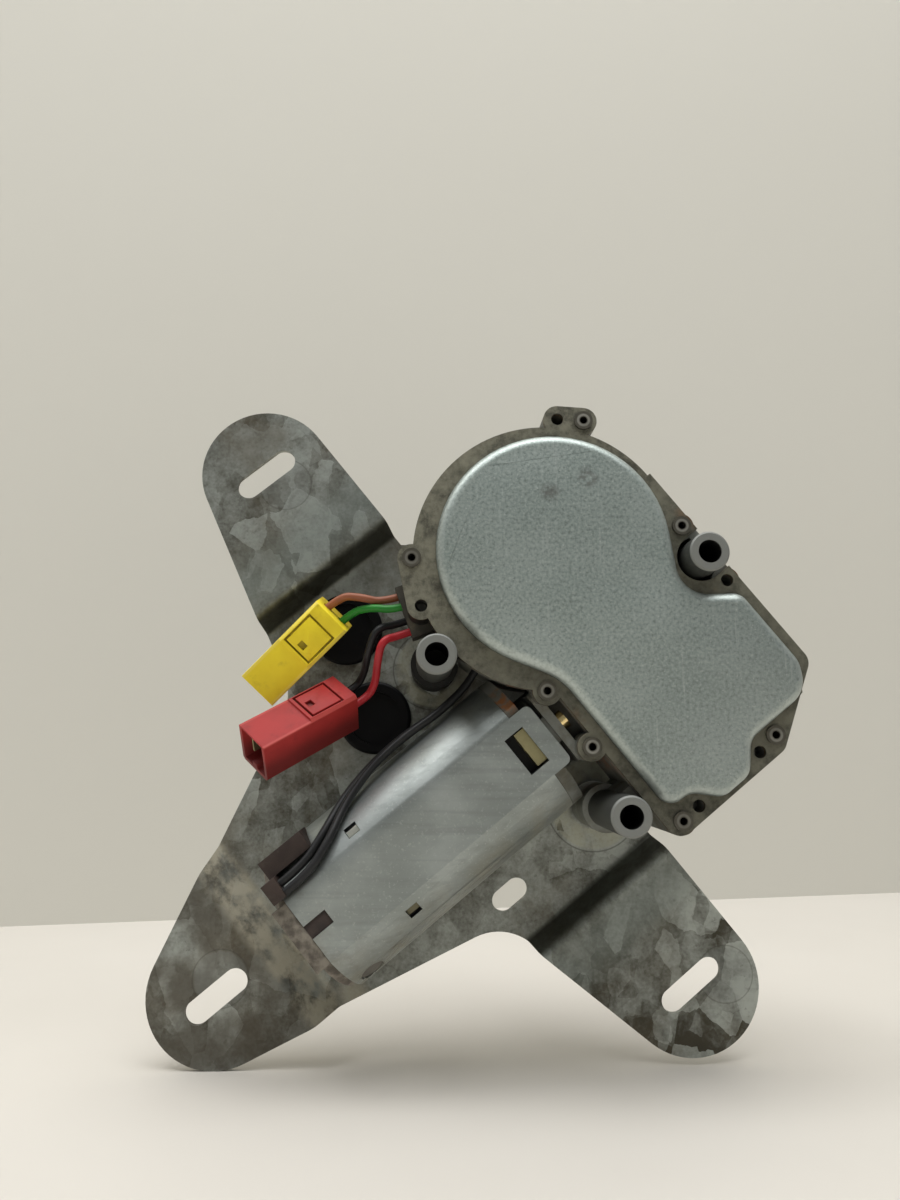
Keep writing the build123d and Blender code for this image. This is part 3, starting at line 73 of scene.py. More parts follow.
# Floor, wall and light: a white table, with a warm grey painted wall close behind it, a little askew.
# Soft light comes from the ceiling and from a window on the left.
# The wall is clear from behind, so that it hides nothing.
FLOOR_SIZE = 6.0
WALL_AT = (0.0, 0.285)
WALL_TURN = math.radians(9.7)
WALL_HEIGHT = 3.0
ROOM_GREY = (0.58, 0.60, 0.59, 1.0)
ROOM_STRENGTH = 0.36
LAMPS = (
    ("ceiling", (0.05, -0.6, 2.1), (2.2, 1.5), 47.0),
    ("window", (-1.25, -0.3, 1.8), (0.9, 0.9), 11.0),
)
LAMPS_AIM = Vector((-0.06, 0.0, 0.0))


class Value:
    """One output socket of a finish's nodes, used like a number."""

    def __init__(self, finish, socket):
        self.finish = finish
        self.socket = socket

    def maths(self, operation, first, second):
        return self.finish.add("ShaderNodeMath", {"operation": operation}, {0: first, 1: second})

    def __add__(self, other):
        return self.maths("ADD", self, other)

    def __radd__(self, other):
        return self.maths("ADD", other, self)

    def __sub__(self, other):
        return self.maths("SUBTRACT", self, other)

    def __rsub__(self, other):
        return self.maths("SUBTRACT", other, self)

    def __mul__(self, other):
        return self.maths("MULTIPLY", self, other)

    def __rmul__(self, other):
        return self.maths("MULTIPLY", other, self)

    def larger(self, other):
        return self.maths("MAXIMUM", self, other)

    def smaller(self, other):
        return self.maths("MINIMUM", self, other)

    def step(self, low, high):
        """0 before low, 1 past high and a smooth rise between; low may be the larger one."""
        return self.finish.add(
            "ShaderNodeMapRange",
            {"interpolation_type": "SMOOTHSTEP"},
            {"Value": self, "From Min": low, "From Max": high},
        )

    def band(self, low, high, soft):
        """1 between low and high, with soft ends."""
        return self.step(low - soft, low + soft) * self.step(high + soft, high - soft)


class Finish:
    """A material in the making, on the Object coordinates of its piece."""

    def __init__(self, name):
        self.material = bpy.data.materials.new(name)
        self.material.use_nodes = True
        self.material.node_tree.nodes.clear()
        self.at = self.add("ShaderNodeTexCoord", {}, {}, "Object")

    def add(self, kind, settings, inputs, output=0):
        """Adds one node with its settings and its sockets' values or links, and gives one output."""
        made = self.material.node_tree.nodes.new(kind)
        for name, value in settings.items():
            setattr(made, name, value)
        for key, value in inputs.items():
            if isinstance(value, Value):
                self.material.node_tree.links.new(value.socket, made.inputs[key])
            else:
                made.inputs[key].default_value = value
        return Value(self, made.outputs[output])

    def axis(self, name, of=None):
        """One coordinate of the place on the piece, in metres, or one part of a colour."""
        return self.add("ShaderNodeSeparateXYZ", {}, {0: of or self.at}, name)

    def stretched(self, scale, turn=0.0, of=None):
        """The place on the piece, stretched and turned in the front view."""
        return self.add(
            "ShaderNodeMapping", {}, {0: of or self.at, "Rotation": (0.0, turn, 0.0), "Scale": scale},
        )

    def noise(self, scale, detail=3.0, rough=0.55, at=None, seed=0.0, output=0):
        """Cloudy noise around a half; the seed moves it."""
        return self.add(
            "ShaderNodeTexNoise",
            {"noise_dimensions": "4D"},
            {"Vector": at or self.at, "W": seed, "Scale": scale, "Detail": detail, "Roughness": rough},
            output,
        )

    def mix(self, share, first, second):
        """Colour between the first and the second."""
        return self.add("ShaderNodeMix", {"data_type": "RGBA"}, {0: share, 6: first, 7: second}, 2)

    def bump(self, height, depth):
        """Normal of a surface that the height raises by up to the depth, in metres."""
        return self.add("ShaderNodeBump", {}, {"Height": height, "Distance": depth})

    def close(self, **inputs):
        """Ends the finish in one shader."""
        named = {key.replace("_", " "): value for key, value in inputs.items()}
        return self.show(self.add("ShaderNodeBsdfPrincipled", {}, named))

    def show(self, shader):
        end = self.material.node_tree.nodes.new("ShaderNodeOutputMaterial")
        self.material.node_tree.links.new(shader.socket, end.inputs["Surface"])
        return self.material


def tone(red, green, blue):
    """Colour as it is seen on a screen, 0 to 255, to the shader's linear values."""
    def linear(part):
        part = part / 255
        return part / 12.92 if part <= 0.04045 else ((part + 0.055) / 1.055) ** 2.4
    return (linear(red), linear(green), linear(blue), 1.0)


def white_table():
    table = Finish("white_table")
    shade = table.mix(table.noise(9.0), tone(212, 207, 198), tone(220, 215, 207))
    return table.close(Base_Color=shade, Roughness=0.55)


def painted_wall():
    wall = Finish("painted_wall")
    shade = wall.mix(wall.noise(5.0), tone(213, 210, 200), tone(218, 216, 207))
    shade = wall.mix(wall.noise(60.0, 6.0, seed=2.0).step(0.66, 0.8) * 0.35, shade, tone(170, 166, 154))
    paint = wall.add("ShaderNodeBsdfPrincipled", {}, {"Base Color": shade, "Roughness": 0.8})
    clear = wall.add("ShaderNodeBsdfTransparent", {}, {})
    behind = wall.add("ShaderNodeNewGeometry", {}, {}, "Backfacing")
    return wall.show(wall.add("ShaderNodeMixShader", {}, {0: behind, 1: paint, 2: clear}))


bpy.ops.object.select_all(action="DESELECT")
bpy.ops.mesh.primitive_plane_add(size=FLOOR_SIZE, location=(0, 0, cad_box[0][2]))
floor = bpy.context.object
floor.name = "floor"
floor.data.materials.append(white_table())
bpy.ops.mesh.primitive_plane_add(
    size=1,
    location=(*WALL_AT, cad_box[0][2] + WALL_HEIGHT / 2),
    rotation=(math.pi / 2, 0, WALL_TURN),
)
backdrop = bpy.context.object
backdrop.name = "wall"
backdrop.scale = (FLOOR_SIZE, WALL_HEIGHT, 1)
backdrop.data.materials.append(painted_wall())

room = bpy.data.worlds.new("room")
bpy.context.scene.world = room
room.use_nodes = True
room.node_tree.nodes["Background"].inputs["Color"].default_value = ROOM_GREY
room.node_tree.nodes["Background"].inputs["Strength"].default_value = ROOM_STRENGTH
for name, spot, size, power in LAMPS:
    lamp = bpy.data.objects.new(name, bpy.data.lights.new(name, "AREA"))
    bpy.context.collection.objects.link(lamp)
    lamp.data.shape = "RECTANGLE"
    lamp.data.size, lamp.data.size_y = size
    lamp.data.energy = power
    lamp.location = spot
    lamp.rotation_euler = (LAMPS_AIM - Vector(spot)).to_track_quat("-Z", "Y").to_euler()

# Bracket: pressed from galvanised sheet, whose zinc froze in angular crystals of differing grey and grain.
# Age has left a brown film, white rust on the left fold and rings of washers by the slots.
# Places are in millimetres on the drawing: a along the motor, b across it, h towards the viewer.
MM = 0.001
LEAN = math.radians(39)
FOLD_TOP = (109.5, 114.5)
FOLD_LEFT = (-157.0, -147.5)
FOLD_LOWER = (-31.5, -27.0)
WASHERS = ((-55.0, 146.0), (-170.5, 28.8), (-43.5, -74.0))
WASHER_R = 9.0
SEATS = ((-54.7, 63.7, 13.6), (27.9, 36.6, 13.6), (-40.7, -7.0, 15.8))


def place(a, b, h):
    """Drawing place in millimetres to the part's frame in metres."""
    x = a * math.cos(LEAN) - b * math.sin(LEAN)
    z = a * math.sin(LEAN) + b * math.cos(LEAN)
    return Vector((x, -h, z)) * MM


def along(finish):
    """Place along the motor, in millimetres."""
    return finish.axis("X") * (math.cos(LEAN) / MM) + finish.axis("Z") * (math.sin(LEAN) / MM)


def across(finish):
    """Place across the motor, in millimetres."""
    return finish.axis("Z") * (math.cos(LEAN) / MM) - finish.axis("X") * (math.sin(LEAN) / MM)


def height(finish):
    """Height towards the viewer, in millimetres."""
    return finish.axis("Y") * (-1 / MM)


def from_spot(finish, a, b):
    """Distance from a spot of the front view, in millimetres."""
    kind = "ShaderNodeVectorMath"
    flat = finish.add(kind, {"operation": "MULTIPLY"}, {0: finish.at, 1: (1 / MM, 0, 1 / MM)})
    return finish.add(kind, {"operation": "DISTANCE"}, {0: flat, 1: place(a, b, 0) / MM}, "Value")


def from_nearest(finish, spots):
    """Distance from the nearest of several spots of the front view, in millimetres."""
    away = from_spot(finish, *spots[0])
    for spot in spots[1:]:
        away = away.smaller(from_spot(finish, *spot))
    return away


def dress(finish, *names):
    """Gives construction nodes one finish."""
    for name in names:
        node[name].data.materials.clear()
        node[name].data.materials.append(finish)


def galvanised_sheet():
    zinc = Finish("galvanised_sheet")
    wander = zinc.noise(260.0, 4.0, seed=1.0, output="Color")
    shard_at = zinc.add(
        "ShaderNodeVectorMath",
        {"operation": "MULTIPLY_ADD"},
        {0: wander, 1: (0.002, 0.002, 0.002), 2: zinc.stretched((1.0, 1.0, 0.72), 0.5)},
    )
    large = zinc.add("ShaderNodeTexVoronoi", {}, {"Vector": shard_at, "Scale": 105.0}, "Color")
    small = zinc.add("ShaderNodeTexVoronoi", {}, {"Vector": shard_at, "Scale": 230.0}, "Color")
    pick = zinc.axis("X", large)
    turned = zinc.add(
        "ShaderNodeVectorRotate",
        {"rotation_type": "Y_AXIS"},
        {"Vector": zinc.at, "Angle": pick * (4 * math.pi)},
    )
    feather = zinc.noise(420.0, 3.0, at=zinc.stretched((1.0, 1.0, 0.12), of=turned))
    b = across(zinc)
    lower_arm = b.step(-36.0, -50.0)
    clear = zinc.noise(20.0, 2.0, seed=5.0).step(0.4, 0.58) * (0.45 + lower_arm * 0.35)
    clear = clear + lower_arm * 0.25 + 0.14
    shard = pick.step(0.3, 0.8) * 0.62 + zinc.axis("X", small) * 0.38
    mottle = zinc.noise(140.0, 6.0, 0.66, seed=2.0)
    grain = zinc.noise(900.0, 3.0, seed=3.0)
    level = (shard - 0.46) * clear * 1.25 + (mottle - 0.5) * 1.3
    level = level + (grain - 0.5) * 0.5 + (feather - 0.5) * clear * 0.6
    metal = zinc.mix((level + 0.5).step(-0.1, 1.1), tone(72, 69, 58), tone(172, 177, 171))
    film = zinc.noise(30.0, 6.0, 0.62, seed=4.0).step(0.45, 0.7)
    metal = zinc.mix(film * 0.6, metal, tone(102, 93, 76))
    pits = zinc.noise(430.0, 5.0, 0.7, seed=6.0).step(0.57, 0.68)
    metal = zinc.mix(pits * 0.4, metal, tone(70, 66, 57))
    a = along(zinc)
    brown = a.step(-146.0, -164.0) * zinc.noise(70.0, 5.0, seed=7.0).step(0.3, 0.6)
    metal = zinc.mix(brown * 0.8, metal, tone(84, 79, 69))
    fresh = b.band(116.0, 133.0, 8.0).larger(b.band(-48.0, -33.0, 6.0)) * 0.4
    metal = zinc.mix(fresh, metal, tone(132, 142, 138))
    white = a.band(*FOLD_LEFT, 2.0) * zinc.noise(130.0, 7.0, 0.66, seed=9.0).step(0.34, 0.58)
    white = white.larger(a.band(-147.0, -139.0, 3.0) * b.step(4.0, -3.0) * 0.7)
    metal = zinc.mix(white * 0.85, metal, tone(184, 178, 158))
    # Painted shade: the top and lower folds are painted dark, for bends that face away from the light or lie
    # in the gearbox's shadow.
    dark = b.band(*FOLD_TOP, 1.2).larger(b.band(*FOLD_LOWER, 1.2))
    metal = zinc.mix(dark * 0.78, metal, tone(62, 62, 52))
    for seat_a, seat_b, reach in SEATS:
        away = from_spot(zinc, seat_a, seat_b)
        # Painted highlight and shade: each seat's rise is painted pale in patches, and a dark ring at its
        # foot is painted shade.
        painted_seat_highlight = away.band(8.5, reach - 0.6, 0.6) * zinc.noise(160.0, 5.0, seed=8.0).step(0.3, 0.6)
        metal = zinc.mix(painted_seat_highlight * 0.55, metal, tone(172, 171, 150))
        metal = zinc.mix(away.band(reach + 0.2, reach + 0.6, 0.25) * 0.6, metal, tone(52, 50, 42))
    for washer in WASHERS:
        away = from_spot(zinc, *washer)
        metal = zinc.mix(away.step(WASHER_R, WASHER_R - 1.0) * 0.25, metal, tone(140, 145, 142))
        metal = zinc.mix(away.band(WASHER_R - 0.15, WASHER_R + 0.15, 0.25) * 0.5, metal, tone(70, 69, 64))
    return zinc.close(
        Base_Color=metal,
        Roughness=0.5 - level * 0.16 + white * 0.15,
        Metallic=0.6 - white * 0.45,
        Normal=zinc.bump(level, 0.00006),
    )


dress(galvanised_sheet(), "bracket")

# Grommets: moulded black rubber, snapped into the cable holes of the plate; dust greys their rims.
# The seal round the output shaft is the same rubber.
def moulded(name, light, dark, rough, grime=None, share=0.0, gloss=0.35):
    plastic = Finish(name)
    cloud = plastic.noise(90.0, 4.0)
    grain = plastic.noise(2000.0, 2.0, seed=3.0)
    shade = plastic.mix(cloud.step(0.25, 0.75), dark, light)
    if grime:
        dirt = plastic.noise(150.0, 6.0, 0.65, seed=11.0).step(0.52, 0.72)
        shade = plastic.mix(dirt * share, shade, grime)
    return plastic.close(
        Base_Color=shade,
        Roughness=cloud * 0.15 + rough,
        Specular_IOR_Level=gloss,
        Normal=plastic.bump(grain, 0.00003),
    )


dress(
    moulded("black_rubber", tone(7, 7, 8), tone(4, 4, 5), 0.4, tone(24, 23, 21), 0.2, 0.14),
    "grommet_upper", "grommet_lower", "shaft_seal",
)


# Gear housing: one die casting with a flange, feet and a nose, dull grey with oily brown and some rust.
# It is closed by the cover in front and carries the neck of the output shaft behind.
RUST_SPOTS = ((-45.8, 40.6, 6.0), (-36.0, 5.6, 7.0), (-58.7, 72.3, 4.0))
CAN_FRONT = -49.0


def die_cast():
    alloy = Finish("die_cast")
    grain = alloy.noise(1100.0, 2.0)
    cloud = alloy.noise(45.0, 5.0, seed=1.0)
    oil = alloy.noise(80.0, 6.0, 0.65, seed=7.0).step(0.42, 0.66)
    shade = alloy.mix(cloud.step(0.3, 0.7), tone(98, 99, 94), tone(146, 149, 143))
    shade = alloy.mix(oil * 0.6, shade, tone(88, 80, 60))
    for a, b, reach in RUST_SPOTS:
        near = from_spot(alloy, a, b).step(reach, reach * 0.3)
        rust = near * alloy.noise(320.0, 5.0, seed=2.0).step(0.4, 0.6)
        shade = alloy.mix(rust * 0.85, shade, tone(158, 98, 46))
    # Painted shade: the housing inside the can is painted near black, for the dark inside of the can.
    painted_can_shade = along(alloy).step(CAN_FRONT + 0.4, CAN_FRONT - 0.2)
    shade = alloy.mix(painted_can_shade * 0.95, shade, tone(12, 11, 10))
    return alloy.close(
        Base_Color=shade, Roughness=grain * 0.2 + 0.45, Metallic=0.45, Normal=alloy.bump(grain, 0.00005),
    )


dress(die_cast(), "gear_housing")


# Posts: turned sleeves with a matte grey skin, pressed into the housing's feet and screwed on from behind.
# Their rims are painted pale against darker sides, as painted light and shade, and their bores are painted
# dark, as painted shade.
POSTS = ((-54.7, 63.7), (27.9, 36.6), (-40.7, -7.0))
POST_BORE_R = 3.5
POST_TOP = 49.0


def post_skin():
    skin = Finish("post_skin")
    grain = skin.noise(900.0, 3.0)
    cloud = skin.noise(120.0, 4.0, seed=2.0)
    shade = skin.mix(grain.step(0.3, 0.7) * 0.5 + cloud * 0.5, tone(54, 56, 53), tone(86, 88, 84))
    # Painted light: the top of each post is painted pale, its sides darker.
    rim = height(skin).step(POST_TOP - 1.2, POST_TOP - 0.2)
    shade = skin.mix(rim * 0.85, shade, tone(136, 138, 134))
    away = from_nearest(skin, POSTS)
    # Painted shade: each bore is painted near black below its mouth.
    painted_bore_shade = away.step(POST_BORE_R + 0.3, POST_BORE_R) * height(skin).step(POST_TOP, POST_TOP - 1.5)
    shade = skin.mix(painted_bore_shade * 0.92, shade, tone(16, 15, 14))
    return skin.close(
        Base_Color=shade, Roughness=grain * 0.15 + 0.48, Metallic=0.35, Normal=skin.bump(grain, 0.00003),
    )


def plain_metal(name, light, dark, rough):
    metal = Finish(name)
    grain = metal.noise(700.0, 3.0)
    cloud = metal.noise(60.0, 4.0, seed=2.0)
    shade = metal.mix(grain * 0.5 + cloud * 0.5, dark, light)
    return metal.close(
        Base_Color=shade, Roughness=grain * 0.2 + rough, Metallic=1.0, Normal=metal.bump(grain, 0.00002),
    )


steel = plain_metal("turned_steel", tone(186, 186, 184), tone(150, 150, 148), 0.28)
dress(post_skin(), "posts")
dress(steel, "bracket_screws")


# Inside the motor: armature of stacked sheet and copper on a steel shaft, ferrite magnets, bronze bushes.
# A board carries the brushes, and a nylon pad takes the thrust; little of it shows while the can is on.
dress(steel, "armature_shaft", "worm")
dress(
    plain_metal("sintered_bronze", tone(150, 110, 70), tone(110, 80, 52), 0.5),
    "rear_bush", "front_bush", "tail_bush", "shaft_bushes",
)
dress(
    plain_metal("bare_copper", tone(200, 120, 80), tone(150, 84, 54), 0.35),
    "armature_winding", "commutator",
)
dress(
    plain_metal("core_sheet", tone(110, 110, 112), tone(80, 80, 82), 0.5),
    "armature_core", "magnets", "brushes",
)
dress(moulded("white_nylon", tone(224, 222, 208), tone(206, 203, 186), 0.45), "worm_wheel", "thrust_pad")
dress(moulded("brown_board", tone(104, 72, 44), tone(84, 56, 34), 0.6), "brush_plate", "cover_gasket")


# Motor can: deep-drawn steel with bright zinc plating, faintly brushed along its length; its lower side is
# dulled and painted olive, a painted reflection of the table.
# Its flats run softly into the round sides, so they are cut inside their edges and shaded smooth from there.
# Brass bars in its windows take the gilt screws that draw it up to the nose of the housing.
AXIS_B = 25.0
AXIS_H = 15.1
BLEND_FROM = (-5.5, 5.5)
CAN_SMOOTH = math.radians(32)
SAME_POINT = 0.001
SAME_FACE = math.radians(1)


def merged_copy(name, piece_name, finish):
    """A copy of a construction node that stands in for it, with its triangles joined to whole faces."""
    piece = bpy.data.objects.new(piece_name, node[name].data.copy())
    bpy.context.collection.objects.link(piece)
    bpy.ops.object.select_all(action="DESELECT")
    bpy.context.view_layer.objects.active = piece
    piece.select_set(True)
    bpy.ops.object.mode_set(mode="EDIT")
    bpy.ops.mesh.select_all(action="SELECT")
    bpy.ops.mesh.remove_doubles(threshold=SAME_POINT * MM)
    bpy.ops.mesh.dissolve_limited(angle_limit=SAME_FACE)
    bpy.ops.mesh.select_mode(type="EDGE")
    bpy.ops.mesh.select_all(action="DESELECT")
    bpy.ops.object.mode_set(mode="OBJECT")
    piece.data.materials.clear()
    piece.data.materials.append(finish)
    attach(piece, "base")
    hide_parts(name)
    return piece


def can_zinc():
    zinc = Finish("can_zinc")
    brushed = zinc.noise(420.0, 3.0, at=zinc.stretched((0.05, 1.0, 1.0), LEAN))
    speck = zinc.noise(1300.0, 2.0, seed=4.0)
    cloud = zinc.noise(40.0, 5.0, seed=6.0)
    shade = zinc.mix(cloud.step(0.3, 0.7), tone(146, 152, 149), tone(174, 180, 178))
    shade = zinc.mix(brushed.step(0.45, 0.7) * 0.25, shade, tone(112, 116, 112))
    shade = zinc.mix(speck.step(0.55, 0.75) * 0.3, shade, tone(204, 208, 206))
    # Painted reflection: the lower side is painted olive in patches, for the warm table mirrored there, and
    # made less metallic.
    film = across(zinc).step(14.0, 4.0) * zinc.noise(110.0, 5.0, seed=8.0).step(0.3, 0.7)
    shade = zinc.mix(film * 0.5, shade, tone(150, 145, 124))
    rear = along(zinc).step(-116.0, -133.0) * zinc.noise(120.0, 5.0, seed=5.0).step(0.35, 0.7)
    shade = zinc.mix(rear * 0.45, shade, tone(112, 106, 90))
    return zinc.close(
        Base_Color=shade,
        Roughness=brushed * 0.12 + film * 0.1 + 0.4,
        Metallic=0.9 - film * 0.25,
        Normal=zinc.bump(brushed, 0.00002),
    )


can = merged_copy("motor_can", "can_shell", can_zinc())
bpy.ops.object.mode_set(mode="EDIT")
for offset in BLEND_FROM:
    bpy.ops.mesh.select_all(action="SELECT")
    bpy.ops.mesh.bisect(plane_co=place(0, AXIS_B + offset, AXIS_H), plane_no=place(0, 1, 0).normalized())
bpy.ops.object.mode_set(mode="OBJECT")
bpy.ops.object.shade_smooth_by_angle(angle=CAN_SMOOTH)
dress(plain_metal("dull_brass", tone(190, 182, 142), tone(138, 132, 98), 0.4), "nut_bars", "red_blades")
dress(plain_metal("gilt_screw", tone(252, 232, 176), tone(222, 192, 126), 0.12), "can_screws")


# Lances: two tongues cut in the can's shoulders and pressed in to hold the magnets.
# They are the can's own steel, bent at one end; the upper one is painted bright, a painted highlight, and
# the lower one dull olive grey, painted shade.
LANCE_A = -105.9
LANCE_H = 32.6
LANCE_SIZE = (4.0, 2.0, 0.7)
LANCE_EDGE = 0.2

# Painted light: lit and shaded copies of one steel, bright for the upper lance and dull olive grey for the
# lower.
lance_highlight_zinc = plain_metal("lance_highlight_zinc", tone(236, 236, 226), tone(196, 196, 184), 0.3)
lance_shade_zinc = plain_metal("lance_shade_zinc", tone(128, 124, 104), tone(94, 90, 72), 0.5)
LANCES = (("lance_upper", 14.1, -16.0, lance_highlight_zinc), ("lance_lower", -14.1, 24.0, lance_shade_zinc))
for name, offset, tip, finish in LANCES:
    bpy.ops.object.select_all(action="DESELECT")
    bpy.ops.mesh.primitive_cube_add(size=1, scale=Vector(LANCE_SIZE) * MM)
    lance = bpy.context.object
    lance.name = name
    bpy.ops.object.transform_apply(location=False, rotation=False, scale=True)
    bpy.ops.object.mode_set(mode="EDIT")
    bpy.ops.mesh.select_all(action="SELECT")
    bpy.ops.mesh.bevel(offset=LANCE_EDGE * MM, segments=2)
    bpy.ops.object.mode_set(mode="OBJECT")
    facing = Matrix.Rotation(-LEAN, 4, "Y") @ Matrix.Rotation(math.pi / 2, 4, "X")
    tipped = Matrix.Rotation(math.radians(tip), 4, "X")
    lance.data.transform(Matrix.Translation(place(LANCE_A, AXIS_B + offset, LANCE_H)) @ facing @ tipped)
    lance.data.materials.append(finish)
    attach(lance, "base")


# Side stopper: a grey plastic disc pressed into the hole low on the can's side, near its rear.
# Its face lies just under the can's skin and its rim is rounded.
SIDE_HOLE_A = -127.0
SIDE_HOLE_TURN = math.radians(155)
STOPPER_OUT = 22.9
STOPPER_R = 3.9
STOPPER_THICK = 0.8
STOPPER_EDGE = 0.2
STOPPER_SIDES = 48
SHARP_FROM = math.radians(40)
SMOOTH_BELOW = math.radians(35)

outward = place(0, math.cos(SIDE_HOLE_TURN), math.sin(SIDE_HOLE_TURN)).normalized()
bpy.ops.object.select_all(action="DESELECT")
bpy.ops.mesh.primitive_cylinder_add(vertices=STOPPER_SIDES, radius=STOPPER_R * MM, depth=STOPPER_THICK * MM)
stopper = bpy.context.object
stopper.name = "side_stopper"
bpy.ops.object.mode_set(mode="EDIT")
bpy.ops.mesh.select_all(action="DESELECT")
bpy.ops.mesh.edges_select_sharp(sharpness=SHARP_FROM)
bpy.ops.mesh.bevel(offset=STOPPER_EDGE * MM, segments=2)
bpy.ops.object.mode_set(mode="OBJECT")
bpy.ops.object.shade_smooth_by_angle(angle=SMOOTH_BELOW)
seat = Matrix.Translation(place(SIDE_HOLE_A, AXIS_B, AXIS_H) + outward * STOPPER_OUT * MM)
stopper.data.transform(seat @ outward.to_track_quat("Z", "Y").to_matrix().to_4x4())
stopper.data.materials.append(moulded("stopper_grey", tone(108, 104, 97), tone(84, 81, 75), 0.5))
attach(stopper, "base")


# End cap and lead clip: brown moulded plastic; the cap closes the can's rear with a tongue and a key,
# and the clip takes the motor's leads in. Both have soft edges; the cap's tongue is paler than its key, and
# the clip has pale dust in patches.
TONGUE_FROM = -133.2
SOFT_EDGE = 0.35


def softened(name, piece_name, finish):
    """A copy of a construction node that stands in for it, with its sharp edges rounded."""
    piece = merged_copy(name, piece_name, finish)
    edge = piece.modifiers.new("edge", "BEVEL")
    edge.width = SOFT_EDGE * MM
    edge.segments = 2
    edge.limit_method = "ANGLE"
    edge.angle_limit = SHARP_FROM
    bpy.ops.object.modifier_apply(modifier="edge")
    bpy.ops.object.shade_smooth_by_angle(angle=SMOOTH_BELOW)
    return piece


def cap_brown():
    cap = Finish("cap_brown")
    grain = cap.noise(300.0, 5.0)
    shade = cap.mix(grain.step(0.3, 0.7), tone(46, 37, 33), tone(64, 52, 46))
    # The tongue behind the key is painted paler than the rest of the cap.
    paler_tongue = cap.mix(grain.step(0.35, 0.65), tone(84, 77, 69), tone(136, 129, 117))
    shade = cap.mix(along(cap).step(TONGUE_FROM + 0.3, TONGUE_FROM - 0.2), shade, paler_tongue)
    return cap.close(Base_Color=shade, Roughness=0.62 + grain * 0.1, Normal=cap.bump(grain, 0.00004))


softened("rear_end_cap", "end_cap", cap_brown())
clip_brown = moulded("clip_brown", tone(66, 54, 48), tone(44, 34, 31), 0.5, tone(92, 84, 76), 0.4)
softened("lead_clip", "rear_clip", clip_brown)


# Motor leads: two copper strands in black insulation, from a hole in the gearbox wall to the clip.
# They lie along the can, and their ends are held by the wall and the clip.
dress(
    moulded("black_insulation", tone(34, 34, 35), tone(20, 20, 21), 0.34),
    "motor_lead_outer", "motor_lead_inner",
)


# Wheel, linkage and output shaft: steel axle, stamped rod and link, hardened shaft and its spring rings.
# They run inside the gearbox; only the shaft's end stands out behind the plate.
dress(
    steel,
    "wheel_axle", "axle_clip", "crank_pin", "sector_rod", "link_plate", "link_pin", "pinion", "output_shaft",
    "shaft_rings",
)


# Cover: pressed sheet with fine-grained bright zinc and a raised, rolled field, laid on a paper gasket.
# Oil and damp have turned its flange olive brown; the dark line along the field's foot is painted shade in
# the crease.
# The flange is the construction's own; the field is drawn anew, with each corner (a, b, radius) as an arc.
COVER_FACE = 40.0
FIELD = (
    (14.4, 102.5, 36.0), (35.2, 66.5, 36.0), (15.1, 31.6, 9.5), (29.5, 20.8, 5.0), (29.5, -6.0, 9.0),
    (25.0, -14.0, 9.0), (2.6, -14.0, 6.0), (-4.4, -21.5, 6.0), (-15.0, -21.5, 6.0), (-22.0, -14.0, 6.0),
    (-30.0, -14.0, 5.0), (-30.0, 35.3, 20.0), (-48.0, 66.5, 36.0), (-27.2, 102.5, 36.0),
)
FIELD_SUNK = 0.6
FIELD_RISE = 4.0
FIELD_ROLL = 3.4
FIELD_SMOOTH = math.radians(30)
ARC_STEP = 0.1
ABOVE_FLANGE = 0.05
SCRATCH_TURNS = (0.4, 1.1, 2.3)
STAINS = ((3.5, 80.9, 4.0), (15.7, 77.2, 4.4))


